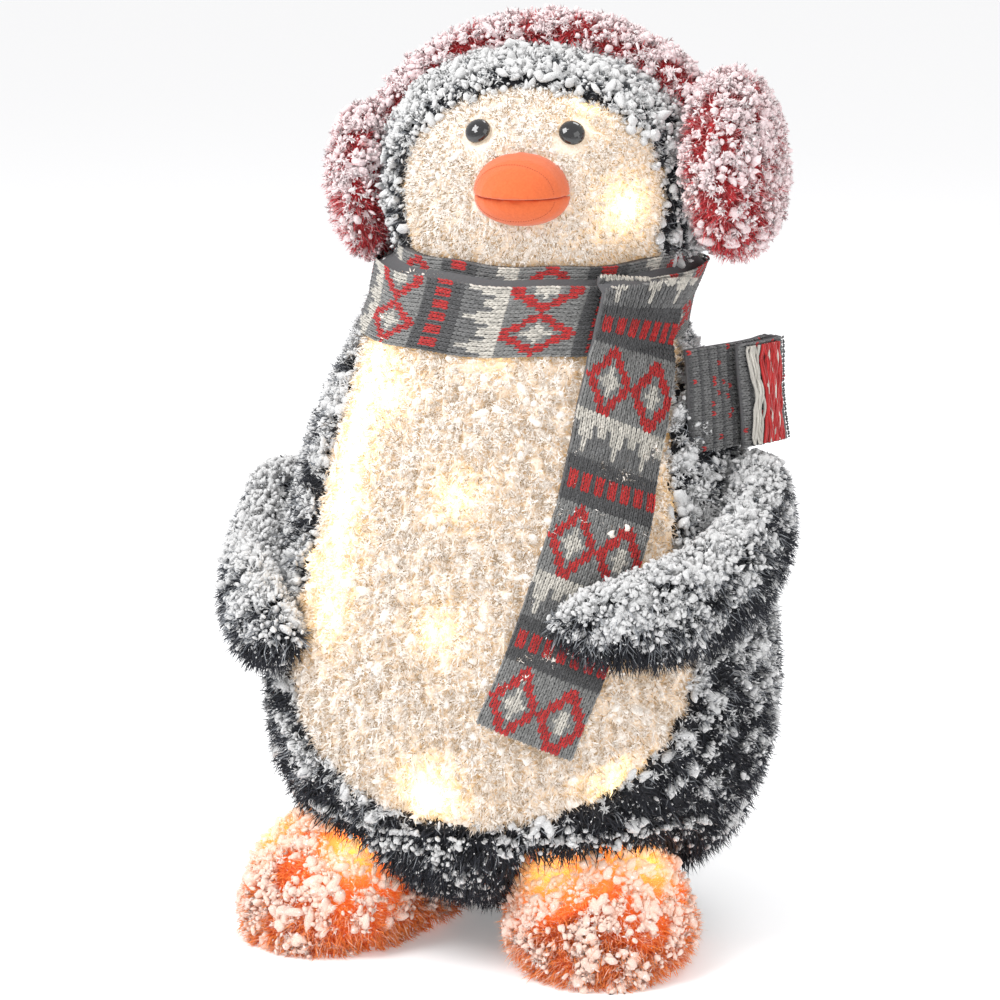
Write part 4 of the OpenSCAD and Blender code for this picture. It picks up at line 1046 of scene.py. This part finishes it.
wrap_radius = 0.106
wrap_long = 2 * math.pi * wrap_radius
strips = [
    strip_mesh(on_neck, wrap_long, True, (0.0006, 0.0066), 120),
    strip_mesh(on_tail, tail_long, False, (0.0012, 0.0042), 60),
    strip_mesh(on_fold, fold_long, False, (0.0006, 0.0036), 36),
]
points, faces, filled = [], [], 0
for strip_points, strip_faces in strips:
    points.append(strip_points)
    faces.append(strip_faces + filled)
    filled += len(strip_points)
knit_back = hard_finish("knit_back", (0.13, 0.13, 0.135), (0.09, 0.09, 0.095), 800, 0.85, 0.95, bump=0.5)
scarf_points = np.concatenate(points)
scarf_strip = mesh_of("scarf_knit", scarf_points, np.concatenate(faces))
scarf = shaped("scarf_knit", scarf_strip, knit_back, "root")
scarf_mesh = bmesh.new()
scarf_mesh.from_mesh(scarf.data)
bmesh.ops.recalc_face_normals(scarf_mesh, faces=scarf_mesh.faces)
scarf_mesh.to_mesh(scarf.data)
scarf_mesh.free()
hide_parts("scarf")

LIGHT, MIDDLE, DARK, RED, CREAM = range(5)
wales = 21
repeat = 36


def pattern_yarn(row, wale):
    """The yarn of each stitch: teeth, a dark band of red blocks, and two red diamonds, repeated."""
    r = row % repeat
    from_tooth = np.abs((wale + 1) % 7 - 3)
    tooth = r < np.array([9, 6, 3, 5])[from_tooth]
    dark = (r >= 10) & (r < 20)
    block = (r >= 13) & (r < 17) & (wale % 3 > 0)
    beside = np.abs((wale % 10.5) - 5)
    off = beside / 5.0 + np.abs(r - 28) / 8.0
    ring = (off > 0.66) & (off < 1.08) & (r > 19)
    heart = (off < 0.42) & (r > 19)
    yarn = np.where(r < 10, MIDDLE, LIGHT)
    yarn = np.where(dark, DARK, yarn)
    yarn = np.where(block | ring, RED, yarn)
    return np.where(tooth | heart, CREAM, yarn)


def stitches(name, places, start, long, rows, face_out, yarn_of, way=1):
    """Knitted stitches over a strip: each is two plump legs that meet in a V."""
    pitch, wale_wide = long / rows, scarf_wide / wales
    row, wale = (grid.ravel() for grid in np.meshgrid(np.arange(rows), np.arange(wales), indexing="ij"))
    along = start + (row + 0.5) * pitch
    across = (wale + 0.5) / wales - 0.5
    out = np.full(len(along), face_out)
    middle = places(along, across, out)
    down = unit(places(along + 0.0005, across, out) - places(along - 0.0005, across, out))
    beside = unit(places(along, across + 0.01, out) - places(along, across - 0.01, out))
    raised = way * unit(places(along, across, out + 0.001) - middle)
    middle = middle + raised * 0.0004
    starts, ends = [], []
    for side in (-1, 1):
        shake = draws.normal(0, 0.00016, (2, len(along), 3))
        starts.append(middle - down * pitch * 0.95 + beside * side * wale_wide * 0.46 + shake[0])
        ends.append(middle + down * pitch * 0.85 + beside * side * wale_wide * 0.10 + shake[1])
    yarn = np.tile(yarn_of(row, wale), 2)
    mesh = spindle_mesh(
        name, np.concatenate(starts), np.concatenate(ends), np.tile(raised, (2, 1)), wale_wide * 0.25,
        yarn=yarn / 4.0, tone=draws.random(2 * len(along)),
    )
    return shaped(name, mesh, knit_yarn, "root")


def yarn_finish():
    """Soft plied yarn in five colours, a little uneven from stitch to stitch."""
    paint = felt_finish("knit_yarn", (1, 1, 1), (0.72, 0.72, 0.72))
    tree = paint.node_tree
    shader = tree.nodes["Principled BSDF"]
    wool = add_node(tree, "ValToRGB", {"Fac": kept_value(tree, "yarn")})
    wool.color_ramp.interpolation = "CONSTANT"
    stops = wool.color_ramp.elements
    while len(stops) < 5:
        stops.new(0.5)
    for stop, place, colour in zip(
        stops, (0, 0.125, 0.375, 0.625, 0.875),
        ((0.25, 0.25, 0.245), (0.18, 0.18, 0.18), (0.085, 0.085, 0.088), (0.52, 0.022, 0.022),
         (0.64, 0.61, 0.55)),
    ):
        stop.position = place
        stop.color = (*colour, 1)
    uneven = add_node(tree, "MapRange", {"Value": kept_value(tree, "tone")}, {"To Min": 0.72, "To Max": 1.18})
    dye = add_node(
        tree, "VectorMath", {0: wool.outputs["Color"], "Scale": uneven.outputs[0]}, operation="SCALE"
    )
    base_colour = shader.inputs["Base Color"]
    grain = next(link.from_socket for link in tree.links if link.to_socket == base_colour)
    mixed = add_node(
        tree, "Mix", {6: dye.outputs[0], 7: grain}, {"Factor": 1}, data_type="RGBA", blend_type="MULTIPLY"
    )
    tree.links.new(mixed.outputs[2], base_colour)
    return paint


def plain_reverse(row, wale):
    """The grey face of the short end, with a few red stitches of the pattern showing through."""
    speck = draws.random(len(row)) < np.where((row > 5) & (row < 13), 0.16, 0.02)
    return np.where(speck, RED, np.where(row % 3 == 0, DARK, MIDDLE))


knit_yarn = yarn_finish()
stitch_high = 0.003
fold_at = fold_run[4]
past_fold = fold_long - fold_at
knit_pieces = [
    stitches("scarf_neck_stitches", on_neck, 0, wrap_long, 220, 0.0066,
             lambda row, wale: pattern_yarn(240 - row, wale)),
    stitches("scarf_tail_stitches", on_tail, 0, tail_long, 107, 0.0042, pattern_yarn),
    stitches("scarf_end_stitches", on_fold, 0, fold_at, round(fold_at / stitch_high), 0.0036, plain_reverse),
    stitches("scarf_fold_stitches", on_fold, fold_at, past_fold, round(past_fold / stitch_high), 0.0006,
             plain_reverse, -1),
]


def yarn_runs(name, paths, radius, **values):
    """Loose yarns along paths of points, as thin round strands."""
    count, steps = paths.shape[:2]
    along = unit(np.gradient(paths, axis=1))
    side = unit(np.cross(along, draws.normal(size=(count, 1, 3))))
    out = np.cross(side, along)
    ring = np.stack([
        paths + radius * (side * math.cos(a) + out * math.sin(a)) for a in (0, 1.257, 2.513, 3.770, 5.027)
    ], 2)
    pattern = []
    for i in range(steps - 1):
        for j in range(5):
            n = (j + 1) % 5
            pattern += [[i * 5 + j, i * 5 + n, i * 5 + 5 + n], [i * 5 + j, i * 5 + 5 + n, i * 5 + 5 + j]]
    faces = (np.arange(count)[:, None, None] * steps * 5 + np.array(pattern)).reshape(-1, 3)
    repeated = {key: np.repeat(value, steps * 5) for key, value in values.items()}
    strands = mesh_of(name, ring.reshape(-1, 3), faces, **repeated)
    return shaped(name, strands, knit_yarn, "root")


# The loose yarns behind the pattern cross the folded end from edge to edge
floats = 54
float_steps = 26
reds = np.arange(floats) < 40
float_at = np.where(reds, draws.uniform(0.28, 0.72, floats), draws.uniform(0.4, 1.0, floats))
back_from, back_long = fold_run[5], fold_long - fold_run[5]
sweep = np.linspace(-0.48, 0.48, float_steps)
wander = draws.uniform(0, 6.28, (floats, 1))
float_paths = on_fold(
    (back_from + back_long * (float_at[:, None] * 0.85 + 0.045 * np.sin(sweep * 9 + wander))).ravel(),
    np.tile(sweep, floats),
    (-0.0010 - 0.0016 * np.abs(np.sin(sweep * 11 + wander)) - 0.0012 * draws.random((floats, 1))).ravel(),
).reshape(floats, float_steps, 3)
knit_pieces.append(yarn_runs(
    "scarf_loose_yarns", float_paths, 0.0010,
    yarn=np.where(reds, RED, CREAM) / 4.0, tone=draws.random(floats),
))

# ---------------------------------------------------------------- flippers
# Each flipper is a wire loop in a padded cover of the same black pile. It turns on its shoulder
# pin; its upper face carries flock and its lower edge hangs bare.
for side, hairs, clumps, crumbs in (("left", 12000, 620, 4200), ("right", 15000, 900, 6000)):
    node, body = f"{side}_flipper_cover", f"{side}_flipper"
    flipper = backing(f"{side}_flipper_cloth", node, 0.003, black_backing, body, 0.0012, 0.02)
    flipper_skin = (outside(flipper), body, "black_pile")
    add_pile(
        f"{side}_flipper_pile", flipper_skin, black_pile, hairs, 0.0125, 0.0012, frost_at=snow_on,
        droop=0.35
    )
    add_flock(
        f"{side}_flipper_clump", flipper_skin, clump_shapes, snow_flock, clumps, (0.0016, 0.0036),
        (0.001, 0.006), snow_sparse
    )
    add_flock(
        f"{side}_flipper_crumb", flipper_skin, crumb_shapes, snow_flock, crumbs // 2, (0.0008, 0.0022),
        (0.003, 0.009), snow_sparse
    )
    add_tufts(
        f"{side}_flipper_tuft", flipper_skin, snow_flock, crumbs // 4, 14, 0.0042, (0.002, 0.006),
        snow_sparse
    )

# ---------------------------------------------------------------- feet
# The feet are padded shells of orange tinsel pile over a wire loop, with two lamps inside each.
# Flock mats their tops in pink lumps, and stiff orange fibres splay out round the soles.


def foot_snow(points, normals):
    patch = noise_at(points, 0.022, 51)
    return np.clip(0.28 + 0.5 * normals[:, 2] + 0.5 * patch, 0, 1)


def foot_snow_sparse(points, normals):
    return foot_snow(points, normals) ** 1.4 + 0.02


orange = (0.90, 0.20, 0.025)
ember_far = (0.75, 0.13, 0.015)
ember_near = (1.0, 0.46, 0.10)
orange_pile = pile_finish(
    "orange_pile", (0.90, 0.17, 0.022), (0.96, 0.34, 0.08), (0.94, 0.68, 0.56), 0.5, 900, ember_far,
    ember_near, 0.55
)
orange_backing = pile_finish("orange_backing", orange, orange, orange, 0.0, 900, ember_far, ember_near, 0.7)
peach_flock = pile_finish(
    "peach_flock", (0.92, 0.70, 0.60), (0.92, 0.77, 0.70), (0.93, 0.83, 0.78), 0.6, 1200, ember_far,
    ember_near, 0.3
)
for side in ("left", "right"):
    node = f"{side}_foot_cover"
    foot = backing(f"{side}_foot_cloth", node, 0.004, orange_backing, "root", 0.002, 0.02)
    foot_skin = (outside(foot), "root", "orange_pile")
    foot_light = light_through(foot_skin[0], 0.014, 0.040, 0.45)
    keep_glow(foot, foot_light)

    def off_sole(points, normals):
        return (normals[:, 2] > -0.7) * 1.0

    def low_edge(points, normals):
        return (normals[:, 2] > -0.5) * (points[:, 2] < 0.035) * 1.0

    def foot_flock(points, normals):
        return foot_snow_sparse(points, normals) * (normals[:, 2] > -0.3)

    add_pile(
        f"{side}_foot_pile", foot_skin, orange_pile, 15000, 0.0095, 0.0010, 1.1, 0.2, off_sole, foot_light,
        foot_snow
    )
    add_pile(
        f"{side}_foot_fringe", foot_skin, orange_pile, 3500, 0.0125, 0.0008, 0.9, 0.25, low_edge, foot_light
    )
    add_flock(
        f"{side}_foot_clump", foot_skin, clump_shapes, peach_flock, 800, (0.0016, 0.0038), (0.003, 0.0075),
        foot_flock, foot_light
    )
    add_flock(
        f"{side}_foot_crumb", foot_skin, crumb_shapes, peach_flock, 3000, (0.0007, 0.0019), (0.003, 0.009),
        foot_flock, foot_light
    )
    add_tufts(
        f"{side}_foot_tuft", foot_skin, peach_flock, 1100, 14, 0.0042, (0.002, 0.006), foot_flock,
        foot_light
    )

# ---------------------------------------------------------------- battery case
# The case is moulded in black plastic and screwed to a strap between the back ribs. Its door swings
# down on a steel pin over three cells, and a sliding switch stands beside the door.
for name, colour, second, grain, smooth, rough, more, parts in (
    ("case_plastic", (0.020, 0.020, 0.022), (0.030, 0.030, 0.033), 900, 0.38, 0.55, {"bump": 0.3},
     ("battery_case", "battery_door")),
    ("knob_plastic", (0.72, 0.72, 0.70), (0.64, 0.64, 0.62), 600, 0.35, 0.5, {}, ("switch_knob",)),
    ("cell_sleeve", (0.05, 0.16, 0.30), (0.04, 0.12, 0.24), 120, 0.22, 0.32, {"coat": 0.4}, ("cells",)),
    ("spring_steel", (0.70, 0.71, 0.72), (0.60, 0.61, 0.62), 500, 0.18, 0.3, {"metal": 1.0},
     ("cell_springs", "door_hinge_pin", "case_screws")),
    ("contact_brass", (0.68, 0.52, 0.26), (0.58, 0.43, 0.20), 400, 0.22, 0.35, {"metal": 1.0},
     ("contact_plates",)),
    ("board_resin", (0.03, 0.16, 0.06), (0.02, 0.12, 0.045), 300, 0.3, 0.45, {"coat": 0.3},
     ("control_board",)),
):
    finish_nodes(hard_finish(name, colour, second, grain, smooth, rough, **more), *parts)
